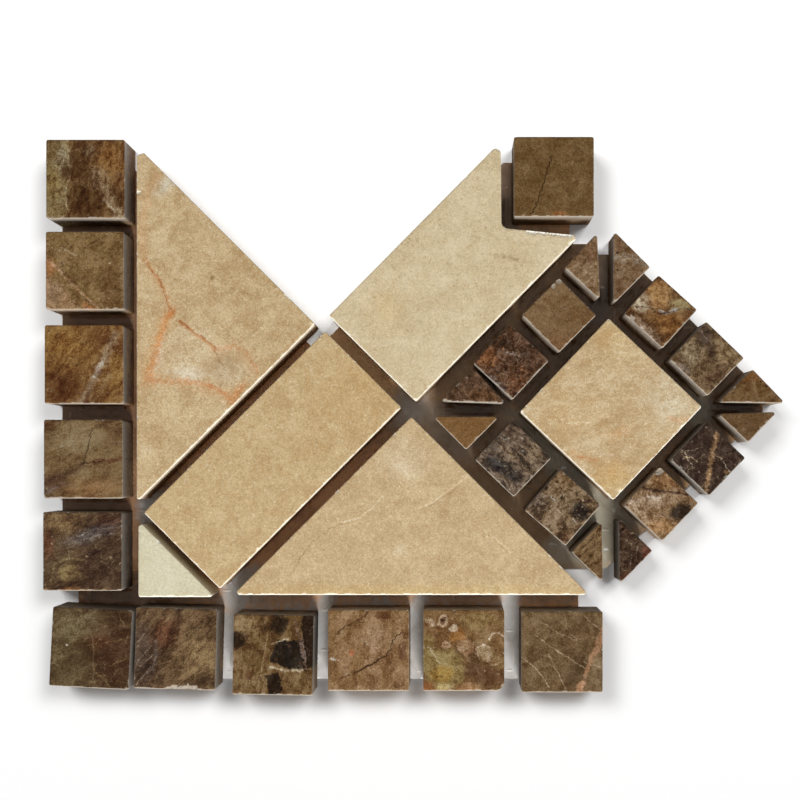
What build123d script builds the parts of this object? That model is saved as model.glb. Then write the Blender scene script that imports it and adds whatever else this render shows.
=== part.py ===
"""Marble mosaic border corner tile: loose sawn stones glued on one sheet of backing net.

The pattern is laid out from the middle of the corner square, with X along the bottom row and
Y up the left column. It is the same on both sides of the diagonal between the corner square
and the inner square. The whole tile is moved to the middle of its own box at the end.
"""
import math
import os

from build123d import *

# Border squares, in millimetres
SQUARE = 19.1               # side of a border square
JOINT = 3.6                 # open joint round the border squares
SQUARES_PER_SIDE = 5        # squares on each leg beyond the corner square

# Cream stones of the field
BAR_WIDTH = 25.8            # bar lying on the diagonal
SLAB_WIDTH = 29.0           # notched slab lying on the diagonal
CORNER_LEG = 18.3           # short sides of the triangle behind the corner square
FIELD_JOINT = 3.1           # open joint between the cream stones
CORNER_JOINT = 2.0          # tighter joint between the corner triangle and the bar
BAY_STEP = 0.5              # how far the field steps out into the bays, along X and Y together
NOTCH_RADIUS = 1.7          # inside corner of the slab's notch
NOTCH_FALL = 2.0            # how far the broken lower edge of the notch falls to its tip
TIP_NIP = 1.2               # how far the sharp tips are broken back
BLUNT_NIP = 2.4             # the same at the top of the left triangle
SLAB_TIP_RADIUS = 1.2       # rounded top tip of the slab

# Medallion
CENTRE = 30.5               # side of the centre diamond
SMALL = 12.5                # side of a ring square
RING_JOINT = 3.2            # joint inside the medallion
MITRE_JOINT = 4.0           # joint between the two triangles at each tip of the ring
BAY_JOINT = 4.0             # joint between the medallion and the bay that it lies in

# Stone section and edges
STONE = 9.4                 # thickness of every stone
ARRIS = 0.25                # bevel along the top edges
CORNER_RADIUS = 0.5         # upright corners
BROKEN_CORNER_RADIUS = 2.2  # the one border square with a worn upright corner

# Backing net
NET = 0.6                   # net with its glue
NET_INSET = 1.2             # how far the net stays back from the outer edges of the stones
NET_BAY_INSET = 4.9         # the same along the bay at the top
NET_SLAB_INSET = 1.4        # the same along the slab's side of that bay
NET_UPPER_INSET = 0.0       # the same along the upper right side of the medallion
NET_LOWER_INSET = 3.4       # the same along the lower right side of the medallion
NET_TIP_TRIM = 4.8          # how far the net is cut off at the tips of the medallion
NET_TOP_STEP = 2.6          # how much higher the net is left beside the slab than at the top tip
NET_NOTCH_TRIM = 2.2        # how far the net is cut back under the slab's broken tip
NET_CORNER_CUT = 4.0        # how far the net is cut back under the corner square

# How each stone strays: along X and along Y as a share of its joint, then its turn in degrees,
# then how large it was sawn
STRAY = {
    "left_square_1": (0.10, -0.05, 0.0, 0.99),
    "left_square_2": (0.05, 0.15, 0.0, 0.98),
    "left_square_3": (0.0, 0.20, 0.0, 0.99),
    "left_square_4": (-0.05, 0.20, 0.0, 0.99),
    "left_square_5": (-0.10, 0.35, 0.0, 0.99),
    "corner_square": (0.45, 0.20, -3.0, 1.0),
    "bottom_square_1": (-0.20, 0.15, -1.5, 1.02),
    "bottom_square_2": (0.0, -0.25, -1.0, 1.01),
    "bottom_square_3": (0.05, 0.05, 0.0, 1.02),
    "bottom_square_4": (0.10, 0.05, 0.0, 1.02),
    "bottom_square_5": (0.35, -0.05, 0.0, 1.02),
    "inner_square": (-0.20, 0.10, 0.0, 1.005),
    "left_triangle": (-0.16, 0.0, 0.0, 1.0),
    "bottom_triangle": (0.0, 0.11, 0.0, 1.0),
    "diagonal_bar": (-0.08, 0.13, 0.0, 1.0),
    "notched_slab": (-0.05, 0.38, 0.4, 1.01),
    "corner_triangle": (-0.03, -0.05, 0.0, 1.0),
    "centre_diamond": (0.0, 0.04, 1.5, 1.012),
    "ring_square_1": (0.0, 0.10, 1.0, 1.01),
    "ring_square_2": (0.0, 0.15, 3.0, 0.995),
    "ring_square_3": (-0.17, -0.10, 0.2, 1.01),
    "ring_square_4": (-0.30, -0.13, 2.0, 1.03),
    "ring_square_5": (-0.15, 0.05, 1.0, 1.04),
    "ring_square_6": (0.12, -0.15, 4.0, 1.04),
    "ring_square_7": (0.05, 0.10, 1.5, 1.01),
    "ring_square_8": (0.10, 0.03, 1.5, 1.01),
    "ring_triangle_1": (-0.06, -0.06, -1.0, 1.05),
    "ring_triangle_2": (-0.31, 0.03, 0.0, 1.15),
    "ring_triangle_3": (-0.35, 0.05, 2.5, 1.06),
    "ring_triangle_4": (0.33, -0.04, -2.0, 1.05),
    "ring_triangle_5": (-0.20, 0.08, 0.0, 1.04),
    "ring_triangle_6": (0.0, 0.0, 1.0, 0.97),
    "ring_triangle_7": (0.02, 0.06, 0.5, 1.05),
    "ring_triangle_8": (-0.40, 0.45, 1.5, 0.94),
}
MEDALLION_STRAY = (-0.05, 0.30)     # the whole medallion, as a share of the bay's joint

# Places worked out from the sizes
ROOT2 = math.sqrt(2)
PITCH = SQUARE + JOINT
REACH = SQUARES_PER_SIDE * PITCH                    # corner square to the last square of a leg
HALF = SQUARE / 2
FIELD_EDGE = HALF + JOINT                           # straight edges of the field
BAY_LINE = REACH + SLAB_WIDTH / ROOT2 + BAY_STEP    # x + y on the edge of both bays
SLAB_LINE = SLAB_WIDTH / ROOT2                      # y - x on the long edges of the slab
BAR_LINE = BAR_WIDTH / ROOT2                        # y - x on the long edges of the bar
TRIANGLE_LINE = BAR_LINE + ROOT2 * FIELD_JOINT      # y - x on the long edges beside the bar
CORNER_LINE = 2 * FIELD_EDGE + CORNER_LEG           # x + y on the long edge of the corner triangle
NOTCH = REACH - HALF - JOINT                        # both edges of the slab's notch
RING_IN = CENTRE / 2 + RING_JOINT
RING_OUT = RING_IN + SMALL
BAY_APEX = REACH / 2 + SLAB_LINE
MEDALLION_X = BAY_APEX + ROOT2 * (RING_OUT + BAY_JOINT) + MEDALLION_STRAY[0] * BAY_JOINT
MEDALLION_Y = REACH / 2 + MEDALLION_STRAY[1] * BAY_JOINT


def across(total, difference):
    """The point where x + y and y - x have these values."""
    return ((total - difference) / 2, (total + difference) / 2)


def nipped(points, cuts):
    """The outline with the numbered corners cut straight across, so far back on both edges."""
    outline = []
    for index, corner in enumerate(points):
        if index not in cuts:
            outline.append(corner)
            continue
        here = Vector(*corner)
        for other in (points[index - 1], points[(index + 1) % len(points)]):
            along = (Vector(*other) - here).normalized()
            cut = here + along * cuts[index]
            outline.append((cut.X, cut.Y))
    return outline


def sawn(outline, rounded=()):
    """A stone of one thickness on this outline; rounded lists (corner, radius) pairs."""
    block = extrude(make_face(Polyline(*outline, close=True)), STONE)
    radii = dict(rounded)
    for index, corner in enumerate(outline):
        upright = block.edges().filter_by(Axis.Z).sort_by_distance((*corner, STONE / 2))[0]
        block = fillet(upright, radii.get(index, CORNER_RADIUS))
    top_rim = block.faces().sort_by(Axis.Z)[-1].edges()
    return chamfer(top_rim, ARRIS)


def laid(name, outline, joint, rounded=()):
    """A sawn stone set on the net, as far from its place as it strays."""
    share_x, share_y, turn, size = STRAY[name]
    middle_x = sum(x for x, y in outline) / len(outline)
    middle_y = sum(y for x, y in outline) / len(outline)
    own = [(size * (x - middle_x), size * (y - middle_y)) for x, y in outline]
    place = Pos(middle_x + share_x * joint, middle_y + share_y * joint, NET)
    return place * Rot(0, 0, turn) * sawn(own, rounded)


def square_outline(middle_x, middle_y):
    """Corners of a border square, counter-clockwise from its lower left."""
    return [
        (middle_x - HALF, middle_y - HALF),
        (middle_x + HALF, middle_y - HALF),
        (middle_x + HALF, middle_y + HALF),
        (middle_x - HALF, middle_y + HALF),
    ]


def border_squares():
    """The left column, the corner, the bottom row and the square in the inner corner."""
    stones = {"corner_square": laid("corner_square", square_outline(0, 0), JOINT)}
    for count in range(1, SQUARES_PER_SIDE + 1):
        name = f"left_square_{count}"
        height = (SQUARES_PER_SIDE + 1 - count) * PITCH
        stones[name] = laid(name, square_outline(0, height), JOINT)
    for count in range(1, SQUARES_PER_SIDE + 1):
        name = f"bottom_square_{count}"
        worn = ((1, BROKEN_CORNER_RADIUS),) if count == SQUARES_PER_SIDE - 1 else ()
        stones[name] = laid(name, square_outline(count * PITCH, 0), JOINT, worn)
    stones["inner_square"] = laid("inner_square", square_outline(REACH, REACH), JOINT)
    return stones


def cream_field():
    """Two triangles beside the diagonal, and the triangle, bar and slab that lie along it."""
    left = [
        (FIELD_EDGE, FIELD_EDGE + TRIANGLE_LINE),
        across(BAY_LINE, TRIANGLE_LINE),
        (FIELD_EDGE, BAY_LINE - FIELD_EDGE),
    ]
    bottom = [(y, x) for x, y in reversed(left)]
    left_cut = nipped(left, {2: BLUNT_NIP})
    bottom_cut = nipped(bottom, {0: TIP_NIP, 2: TIP_NIP})
    corner = [
        (FIELD_EDGE, FIELD_EDGE),
        (FIELD_EDGE + CORNER_LEG, FIELD_EDGE),
        (FIELD_EDGE, FIELD_EDGE + CORNER_LEG),
    ]
    corner_cut = nipped(corner, {2: TIP_NIP})
    bar_foot = CORNER_LINE + ROOT2 * CORNER_JOINT
    bar = [
        across(bar_foot, -BAR_LINE),
        across(BAY_LINE, -BAR_LINE),
        across(BAY_LINE, BAR_LINE),
        across(bar_foot, BAR_LINE),
    ]
    slab_foot = BAY_LINE + ROOT2 * FIELD_JOINT
    slab = [
        across(slab_foot, -SLAB_LINE),
        (NOTCH + SLAB_LINE - NOTCH_FALL, NOTCH - NOTCH_FALL),
        (NOTCH, NOTCH),
        (NOTCH, NOTCH + SLAB_LINE),
        across(slab_foot, SLAB_LINE),
    ]
    slab_cut = nipped(slab, {1: TIP_NIP})
    slab_rounds = (
        (slab_cut.index(slab[2]), NOTCH_RADIUS),
        (slab_cut.index(slab[3]), SLAB_TIP_RADIUS),
    )
    return {
        "left_triangle": laid("left_triangle", left_cut, FIELD_JOINT),
        "bottom_triangle": laid("bottom_triangle", bottom_cut, FIELD_JOINT),
        "corner_triangle": laid("corner_triangle", corner_cut, FIELD_JOINT),
        "diagonal_bar": laid("diagonal_bar", bar, FIELD_JOINT),
        "notched_slab": laid("notched_slab", slab_cut, FIELD_JOINT, slab_rounds),
    }


def in_ring(side, out, along):
    """A point of the medallion, out from its middle on one of its sides and along that side."""
    angle = math.radians(45 + 90 * side)
    return (
        MEDALLION_X + out * math.cos(angle) - along * math.sin(angle),
        MEDALLION_Y + out * math.sin(angle) + along * math.cos(angle),
    )


def medallion():
    """The centre diamond and its ring, counter-clockwise from the upper right side."""
    reach = CENTRE / 2
    centre = [in_ring(side, reach, reach) for side in range(4)]
    stones = {"centre_diamond": laid("centre_diamond", centre, RING_JOINT)}
    beside = RING_JOINT / 2
    triangle_start = SMALL + 1.5 * RING_JOINT
    leg = RING_OUT - triangle_start - MITRE_JOINT / ROOT2
    for side in range(4):
        for end in (-1, 1):
            count = 2 * side + (1 if end < 0 else 2)
            near = end * beside
            far = end * (beside + SMALL)
            square = [
                in_ring(side, RING_IN, near),
                in_ring(side, RING_OUT, near),
                in_ring(side, RING_OUT, far),
                in_ring(side, RING_IN, far),
            ]
            triangle = [
                in_ring(side, RING_OUT, end * triangle_start),
                in_ring(side, RING_OUT, end * (triangle_start + leg)),
                in_ring(side, RING_OUT - leg, end * triangle_start),
            ]
            square_name = f"ring_square_{count}"
            triangle_name = f"ring_triangle_{count}"
            stones[square_name] = laid(square_name, square, RING_JOINT)
            stones[triangle_name] = laid(triangle_name, triangle, RING_JOINT)
    return stones


def backing_net():
    """One sheet under all the stones, trimmed a little inside their outer edges."""
    low = -HALF + NET_INSET
    high = HALF - NET_INSET
    tip = BAY_LINE - FIELD_EDGE - ROOT2 * NET_INSET
    under_tip = tip - NET_NOTCH_TRIM
    bay_line = BAY_LINE - ROOT2 * NET_BAY_INSET
    slab_line = SLAB_LINE - ROOT2 * NET_SLAB_INSET
    ring_tip = ROOT2 * RING_OUT - NET_TIP_TRIM
    upper = MEDALLION_X + MEDALLION_Y + ROOT2 * (RING_OUT - NET_UPPER_INSET)
    lower = MEDALLION_X - MEDALLION_Y + ROOT2 * (RING_OUT - NET_LOWER_INSET)
    ring_bottom = MEDALLION_Y - ring_tip
    ring_top = MEDALLION_Y + ring_tip
    ring_right = MEDALLION_X + ring_tip
    outline = [
        (low + NET_CORNER_CUT, low),
        (REACH + high, low),
        (REACH + high, high),
        (tip, high),
        (tip, FIELD_EDGE),
        (BAY_LINE - ROOT2 * NET_INSET - ring_bottom, ring_bottom),
        (lower + ring_bottom, ring_bottom),
        (ring_right, ring_right - lower),
        (ring_right, upper - ring_right),
        (upper - ring_top, ring_top),
        (MEDALLION_X - MITRE_JOINT, ring_top),
        (MEDALLION_X - MITRE_JOINT, ring_top + NET_TOP_STEP),
        (under_tip, ring_top + NET_TOP_STEP),
        (under_tip, REACH - high),
        (REACH + high, REACH - high),
        (REACH + high, REACH + high),
        (REACH - high, REACH + high),
        (REACH - high, tip),
        (tip - slab_line, tip),
        across(bay_line, slab_line),
        (bay_line - tip, tip),
        (high, tip),
        (high, REACH + high),
        (low, REACH + high),
        (low, FIELD_EDGE + NET_INSET),
        (low + NET_CORNER_CUT, FIELD_EDGE + NET_INSET),
    ]
    return extrude(make_face(Polyline(*outline, close=True)), NET)


def tile():
    """Every piece by its name, with the tile's box centred over the origin."""
    pieces = {"backing_net": backing_net()}
    pieces.update(border_squares())
    pieces.update(cream_field())
    pieces.update(medallion())
    boxes = [piece.bounding_box() for piece in pieces.values()]
    middle_x = (min(box.min.X for box in boxes) + max(box.max.X for box in boxes)) / 2
    middle_y = (min(box.min.Y for box in boxes) + max(box.max.Y for box in boxes)) / 2
    home = Pos(-middle_x, -middle_y, 0)
    return {name: home * piece for name, piece in pieces.items()}


os.makedirs("parts", exist_ok=True)
for node, piece in tile().items():
    export_step(piece, f"parts/{node}.step")
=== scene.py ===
"""Marble mosaic border corner tile: every sawn stone with its own markings, on a net soaked in glue."""

import math
import random
from types import SimpleNamespace

import bmesh
import bpy
import numpy as np
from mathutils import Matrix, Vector, geometry, noise


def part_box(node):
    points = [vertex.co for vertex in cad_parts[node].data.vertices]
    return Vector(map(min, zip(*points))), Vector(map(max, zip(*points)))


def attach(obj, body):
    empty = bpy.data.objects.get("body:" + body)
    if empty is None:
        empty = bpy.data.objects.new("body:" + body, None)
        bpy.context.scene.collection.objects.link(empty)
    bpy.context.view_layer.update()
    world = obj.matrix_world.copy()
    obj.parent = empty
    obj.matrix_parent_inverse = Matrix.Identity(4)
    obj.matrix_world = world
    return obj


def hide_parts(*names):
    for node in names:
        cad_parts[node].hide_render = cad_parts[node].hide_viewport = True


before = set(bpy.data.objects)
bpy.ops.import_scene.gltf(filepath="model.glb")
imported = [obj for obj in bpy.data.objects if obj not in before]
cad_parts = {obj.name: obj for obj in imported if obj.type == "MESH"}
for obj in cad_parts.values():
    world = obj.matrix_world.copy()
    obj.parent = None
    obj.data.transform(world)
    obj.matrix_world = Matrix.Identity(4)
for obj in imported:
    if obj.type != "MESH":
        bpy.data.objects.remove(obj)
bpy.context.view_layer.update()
noise.seed_set(1)                       # the cracks stray the same way every time

MM = 0.001

# Camera and light, in millimetres and watts
CAMERA_OVER = (9.35, -11.0, 288.0)      # where the camera hangs, looking straight down
VIEW_WIDTH = 192.0                      # what the picture takes in, across the tops of the stones
VIEW_MIDDLE = (-3.09, 3.92)             # the spot of the tile in the middle of the picture
SENSOR = 36.0
STONE_LAMP_AT = (270.0, -1250.0, 1000.0)
STONE_LAMP_SIZE = 560.0
STONE_LAMP_POWER = 32.0
FLOOR_LAMP_AT = (770.0, 740.0, 1500.0)  # the right one; the left one is its mirror image
FLOOR_LAMP_SIZE = 700.0
FLOOR_LAMP_POWER = 21.5
ROOM_LIGHT = 0.25                       # what the white room adds to the lamps
FLOOR_SIZE = 4000.0
FLOOR_GAP = 0.05                        # floor under the net
FLOOR_GLOW = 0.02                       # near the tile
FLOOR_WHITE_FROM = 150.0                # beyond the picture the floor turns plain white
FLOOR_WHITE_AT = 450.0

# Stone meshes, in millimetres
STONE_TOP = 10.0
STONE_FOOT = 0.6
RIM_STEP = 0.36                         # points along the edges
EDGE_ROWS = (0.13, 0.28, 0.5, 0.8, 1.25)
SIDE_ROWS = (0.035, 0.1, 0.22, 0.4, 0.6, 0.8)
WEAR = 0.12                             # width of a lightly worn arris
ARRIS_FALL = 0.85                       # how far a worn arris drops, as a share of its width
PALE_DROP = 0.07                        # stone that dropped this far shows all of its bruise and of the painted highlight on lower edges
LOW_EDGE_WEAR = 1.3                     # how much more the edges facing the lower side are worn
CHIP_SPACING = 11.0                     # about one small chip in this length of edge
CHIP_REACH = 1.5                        # how far a ragged chip can reach, in its radii
SMALL_CHIP_PALENESS = 0.55
CRACK_WIDTH = 0.3
CRACK_DEPTH = 0.2
PIT_RINGS = (0.45, 0.8, 1.05)           # rows of points round a pit, in its radii
PIT_CORNERS = 14
SAW_RIPPLE = 0.035
RIM_DUST_AND_LIGHT = 0.5
DUST_AND_LIGHT_FADE = 2.8                         # how soon the pale dust and painted light on the sides give out toward the foot
RING_DUST_AND_LIGHT_FADE = 1.7                    # the same in the ring, where the dust and painted light reach deeper
SHARP_EDGE = 38.0                       # degrees from which an edge stays sharp
MERGED = 1e-5                           # points nearer than this are one

# Finishes
BED_STEP = 23.0                         # how far apart in the rock two stones are taken, in millimetres
DUST_AND_LIGHT_COVER = 0.85
CRACK_COVER = 0.85
MARBLE_SHINE = 0.04
GLUE_SHINE = 0.22
YARN_SHINE = 0.2
GLUE_ROUGHNESS = 0.26
YARN_ROUGHNESS = 0.45
YARN_SHOWING = 0.25                     # how much of the yarn's own colour is left in the glue

# Net, in millimetres
NET_PITCH = 5.0
FIRST_STRAND = 0.4                      # from the net's edge, in pitches
STRAND_WIDE = 0.42                      # half the width of a strand
STRAND_THICK = 0.13                     # half its thickness
STRAND_STEP = 0.7
STRAND_SIDES = 8
STRAND_LEVEL = 0.3
STRAND_WAVE = 0.14                      # how far it goes over and under the strands it crosses
STRAND_SWAY = 0.35
FILM_STEP = 0.75
FILM_EDGE_STEP = 2.0
FILM_UNDER_STONE = 1.3                  # how far the glue runs in under the stones
FILM_TOP = 0.46
FILM_FOOT = 0.17
FILM_LUMPS = 0.05
FILM_UNDER_RISE = 0.05                  # how much higher it lies under the stones
FILM_DRAWN_UP = 0.45                    # how far the glue climbs up the stones
FILM_CLIMB_WIDTH = 0.5


def tone(red, green, blue):
    """A colour given as it looks on a screen, made linear."""
    def linear(value):
        value /= 255
        return value / 12.92 if value <= 0.04045 else ((value + 0.055) / 1.055) ** 2.4
    return linear(red), linear(green), linear(blue), 1.0


# Shader helpers

def feed(tree, socket, value):
    if isinstance(value, bpy.types.NodeSocket):
        tree.links.new(value, socket)
    else:
        socket.default_value = value


def add(tree, kind, inlets, **settings):
    made = tree.nodes.new("ShaderNode" + kind)
    for name, value in settings.items():
        setattr(made, name, value)
    for name, value in inlets.items():
        feed(tree, made.inputs[name], value)
    return made


def sums(tree, operation, *values):
    return add(tree, "Math", dict(enumerate(values)), operation=operation).outputs[0]


def plus(tree, first, second):
    return sums(tree, "ADD", first, second)


def minus(tree, first, second):
    return sums(tree, "SUBTRACT", first, second)


def times(tree, first, second):
    return sums(tree, "MULTIPLY", first, second)


def over(tree, first, second):
    return sums(tree, "DIVIDE", first, second)


def vectors(tree, operation, *values):
    made = add(tree, "VectorMath", dict(enumerate(values)), operation=operation)
    return made.outputs["Value" if operation in ("LENGTH", "DOT_PRODUCT") else "Vector"]


def scaled(tree, vector, factor):
    return add(tree, "VectorMath", {0: vector, "Scale": factor}, operation="SCALE").outputs[0]


def turned_back(tree, vector, turn):
    inlets = {"Vector": vector, "Angle": times(tree, turn, -1.0)}
    return add(tree, "VectorRotate", inlets, rotation_type="Z_AXIS").outputs[0]


def parts_of(tree, vector):
    return add(tree, "SeparateXYZ", {0: vector}).outputs


def between(tree, value, low, high, start=0.0, end=1.0, kind="SMOOTHSTEP"):
    inlets = {"Value": value, "From Min": low, "From Max": high, "To Min": start, "To Max": end}
    return add(tree, "MapRange", inlets, interpolation_type=kind).outputs[0]


def mixed(tree, share, first, second, how="MIX"):
    made = add(tree, "Mix", {0: share, 6: first, 7: second}, data_type="RGBA", blend_type=how)
    return made.outputs[2]


def noisy(tree, position, size, detail=2.0, roughness=0.5, distortion=0.0):
    """Cloud noise with lumps of about that size; gives its value and its colour."""
    scale = 1 / size if isinstance(size, float) else over(tree, 1.0, size)
    inlets = {"Vector": position, "Scale": scale, "Detail": detail, "Roughness": roughness,
              "Distortion": distortion}
    made = add(tree, "TexNoise", inlets)
    return made.outputs[0], made.outputs[1]


def cells(tree, position, size, feature="F1"):
    """Cells of about that size, or the distance to their borders."""
    inlets = {"Vector": position, "Scale": over(tree, 1.0, size)}
    return add(tree, "TexVoronoi", inlets, feature=feature).outputs


def attribute(tree, name):
    return add(tree, "Attribute", {}, attribute_name=name).outputs["Fac"]


SOCKETS = {"value": "NodeSocketFloat", "vector": "NodeSocketVector", "colour": "NodeSocketColor"}


def new_group(name, inlets, outlets):
    """An empty node group with named sockets; gives its tree, what comes in and what goes out."""
    tree = bpy.data.node_groups.new(name, "ShaderNodeTree")
    for direction, sockets in (("INPUT", inlets), ("OUTPUT", outlets)):
        for label, kind in sockets.items():
            tree.interface.new_socket(label, in_out=direction, socket_type=SOCKETS[kind])
    return tree, tree.nodes.new("NodeGroupInput").outputs, tree.nodes.new("NodeGroupOutput").inputs


def place(tree, group, **inlets):
    """Puts a group in a material with its own values; the names' underscores stand for spaces."""
    made = tree.nodes.new("ShaderNodeGroup")
    made.node_tree = group
    for name, value in inlets.items():
        feed(tree, made.inputs[name.replace("_", " ")], value)
    return made.outputs


# Effects that the finishes share

def wander_group():
    """Pushes places about, so that lines and borders drawn on them stray."""
    tree, given, result = new_group(
        "wander", {"Position": "vector", "Reach": "value", "Size": "value"}, {"Position": "vector"})
    push = noisy(tree, given["Position"], given["Size"], 3.0, 0.6)[1]
    push = vectors(tree, "SUBTRACT", push, (0.5, 0.5, 0.5))
    push = scaled(tree, push, times(tree, given["Reach"], 4.0))
    feed(tree, result["Position"], vectors(tree, "ADD", given["Position"], push))
    return tree


def clouded_bed_group():
    """The shading of a marble: clouds, mottle and grain from a deep shade over none to a light one."""
    tree, given, result = new_group(
        "clouded_bed",
        {"Position": "vector", "Deep": "colour", "Light": "colour",
         "Cloud Size": "value", "Clouds": "value", "Mottle": "value", "Grain": "value",
         "Streak Turn": "value", "Streak Length": "value"},
        {"Shade": "colour"})
    stretch = add(tree, "CombineXYZ", {0: given["Streak Length"], 1: 1.0, 2: 1.0}).outputs[0]
    laid = vectors(tree, "DIVIDE", turned_back(tree, given["Position"], given["Streak Turn"]), stretch)
    clouds = noisy(tree, laid, given["Cloud Size"], 3.0, 0.55, 0.7)[0]
    mottle = noisy(tree, laid, 1.25, 5.0, 0.68, 0.9)[0]
    grain = noisy(tree, given["Position"], 0.3, 2.0, 0.6)[0]
    tint = 0.5
    for value, share in ((clouds, "Clouds"), (mottle, "Mottle"), (grain, "Grain")):
        tint = plus(tree, times(tree, minus(tree, value, 0.5), given[share]), tint)
    unshaded = (1.0, 1.0, 1.0, 1.0)
    lower = mixed(tree, between(tree, tint, 0.36, 0.5, kind="LINEAR"), given["Deep"], unshaded)
    shade = mixed(tree, between(tree, tint, 0.5, 0.64, kind="LINEAR"), lower, given["Light"])
    feed(tree, result["Shade"], shade)
    return tree


def crystal_grain_group():
    """The fine crystals of the stone: a lighter and darker sparkle, and a height for relief."""
    tree, given, result = new_group(
        "crystal_grain", {"Position": "vector", "Size": "value", "Depth": "value"},
        {"Shade": "colour", "Height": "value"})
    crystals = cells(tree, given["Position"], given["Size"])
    crystal = add(tree, "SeparateColor", {0: crystals["Color"]}).outputs[0]
    fine = noisy(tree, given["Position"], given["Size"], 3.0, 0.7)[0]
    sparkle = plus(tree, times(tree, crystal, 0.45), fine)
    middle = 0.725
    shade = plus(tree, times(tree, minus(tree, sparkle, middle), given["Depth"]), 1.0)
    feed(tree, result["Shade"], add(tree, "CombineColor", {0: shade, 1: shade, 2: shade}).outputs[0])
    feed(tree, result["Height"], sparkle)
    return tree


def vein_group():
    """A band along four points of the face, as deep as the stone."""
    tree, given, result = new_group(
        "vein",
        {"Position": "vector", "Ragged": "vector", "From": "vector", "Second": "vector", "Third": "vector",
         "To": "vector", "Width": "value", "Softness": "value"},
        {"Mask": "value"})
    ragged = parts_of(tree, given["Ragged"])
    flat = vectors(tree, "MULTIPLY", given["Position"], (1.0, 1.0, 0.0))
    nearest_run = None
    for start, end in (("From", "Second"), ("Second", "Third"), ("Third", "To")):
        run = vectors(tree, "SUBTRACT", given[end], given[start])
        away = vectors(tree, "SUBTRACT", flat, given[start])
        length = plus(tree, vectors(tree, "DOT_PRODUCT", run, run), 1e-6)
        share = over(tree, vectors(tree, "DOT_PRODUCT", away, run), length)
        share = between(tree, share, 0.0, 1.0, kind="LINEAR")
        off = vectors(tree, "LENGTH", vectors(tree, "SUBTRACT", away, scaled(tree, run, share)))
        nearest_run = off if nearest_run is None else sums(tree, "MINIMUM", nearest_run, off)
    width = times(tree, given["Width"], between(tree, ragged[0], 0.3, 0.7, 0.2, 1.8, "LINEAR"))
    spread = times(tree, width, given["Softness"])
    band = between(tree, nearest_run, plus(tree, width, spread), minus(tree, width, spread))
    broken = between(tree, ragged[1], 0.3, 0.54, 0.12, 1.0)
    feed(tree, result["Mask"], times(tree, band, broken))
    return tree


def patch_group():
    """A round or angular spot of the face, as deep as the stone."""
    tree, given, result = new_group(
        "patch",
        {"Position": "vector", "Ragged": "vector", "Middle": "vector", "Radii": "vector", "Turn": "value",
         "Squareness": "value", "Softness": "value"},
        {"Mask": "value"})
    away = turned_back(tree, vectors(tree, "SUBTRACT", given["Position"], given["Middle"]), given["Turn"])
    shares = vectors(tree, "ABSOLUTE", vectors(tree, "DIVIDE", away, given["Radii"]))
    flat = vectors(tree, "MULTIPLY", shares, (1.0, 1.0, 0.0))
    across, along = parts_of(tree, flat)[:2]
    square = sums(tree, "MAXIMUM", across, along)
    off = add(tree, "Mix", {0: given["Squareness"], 2: vectors(tree, "LENGTH", flat), 3: square}).outputs[0]
    ragged = minus(tree, parts_of(tree, given["Ragged"])[2], 0.5)
    fray = times(tree, ragged, plus(tree, given["Softness"], 0.25))
    off = plus(tree, off, times(tree, fray, 1.6))
    inner = minus(tree, 1.0, given["Softness"])
    outer = plus(tree, 1.0, given["Softness"])
    feed(tree, result["Mask"], between(tree, off, outer, inner))
    return tree


def specks_group():
    """Small crumbs of another colour strewn all over."""
    tree, given, result = new_group(
        "specks", {"Position": "vector", "Size": "value", "Share": "value"}, {"Mask": "value"})
    crumbs = cells(tree, given["Position"], given["Size"])
    draw = add(tree, "SeparateColor", {0: crumbs["Color"]}).outputs[1]
    chosen = sums(tree, "LESS_THAN", draw, given["Share"])
    round_off = between(tree, crumbs["Distance"], 0.55, 0.3)
    feed(tree, result["Mask"], times(tree, chosen, round_off))
    return tree


def hairlines_group():
    """A broken web of hair-thin healed cracks."""
    tree, given, result = new_group(
        "hairlines", {"Position": "vector", "Size": "value", "Width": "value", "Share": "value"},
        {"Mask": "value"})
    web = cells(tree, given["Position"], given["Size"], "DISTANCE_TO_EDGE")
    edge = times(tree, web["Distance"], given["Size"])
    line = between(tree, edge, given["Width"], 0.0)
    broken = noisy(tree, given["Position"], given["Size"], 3.0, 0.6)[0]
    limit = minus(tree, 1.0, given["Share"])
    kept = between(tree, broken, limit, plus(tree, limit, 0.12))
    feed(tree, result["Mask"], times(tree, line, kept))
    return tree


def worked_faces_group():
    """Where the stone was sawn, dusted, bruised or cracked, from what its mesh says of each point;
    the sawn colour also paints shade, the dust paints light and the bruise paints highlights.
    """
    tree, given, result = new_group(
        "worked_faces", {"Position": "vector"},
        {"Sawn And Shade": "value", "Dust And Light": "value", "Bruise And Highlight": "value", "Crack": "value", "Saw Lines": "value"})
    ragged = noisy(tree, given["Position"], 0.5, 4.0, 0.7)[0]
    bruise_and_highlight = plus(tree, attribute(tree, "bruise_and_highlight"), times(tree, minus(tree, ragged, 0.5), 0.8))
    feed(tree, result["Bruise And Highlight"], between(tree, bruise_and_highlight, 0.15, 0.85))
    feed(tree, result["Sawn And Shade"], attribute(tree, "sawn_and_shade"))
    dust_and_light = times(tree, attribute(tree, "dust_and_light"), between(tree, ragged, 0.3, 0.6, 0.6, 1.0))
    feed(tree, result["Dust And Light"], dust_and_light)
    feed(tree, result["Crack"], attribute(tree, "crack"))
    flattened = vectors(tree, "MULTIPLY", given["Position"], (0.06, 0.06, 3.2))
    feed(tree, result["Saw Lines"], noisy(tree, flattened, 1.0, 4.0, 0.7)[0])
    return tree


WANDER = wander_group()
CLOUDED_BED = clouded_bed_group()
CRYSTAL_GRAIN = crystal_grain_group()
VEIN = vein_group()
PATCH = patch_group()
SPECKS = specks_group()
HAIRLINES = hairlines_group()
WORKED_FACES = worked_faces_group()


# Markings of a stone, in millimetres from its middle: each gives its colour, how strongly it covers,
# and a function that draws its mask in a material

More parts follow.
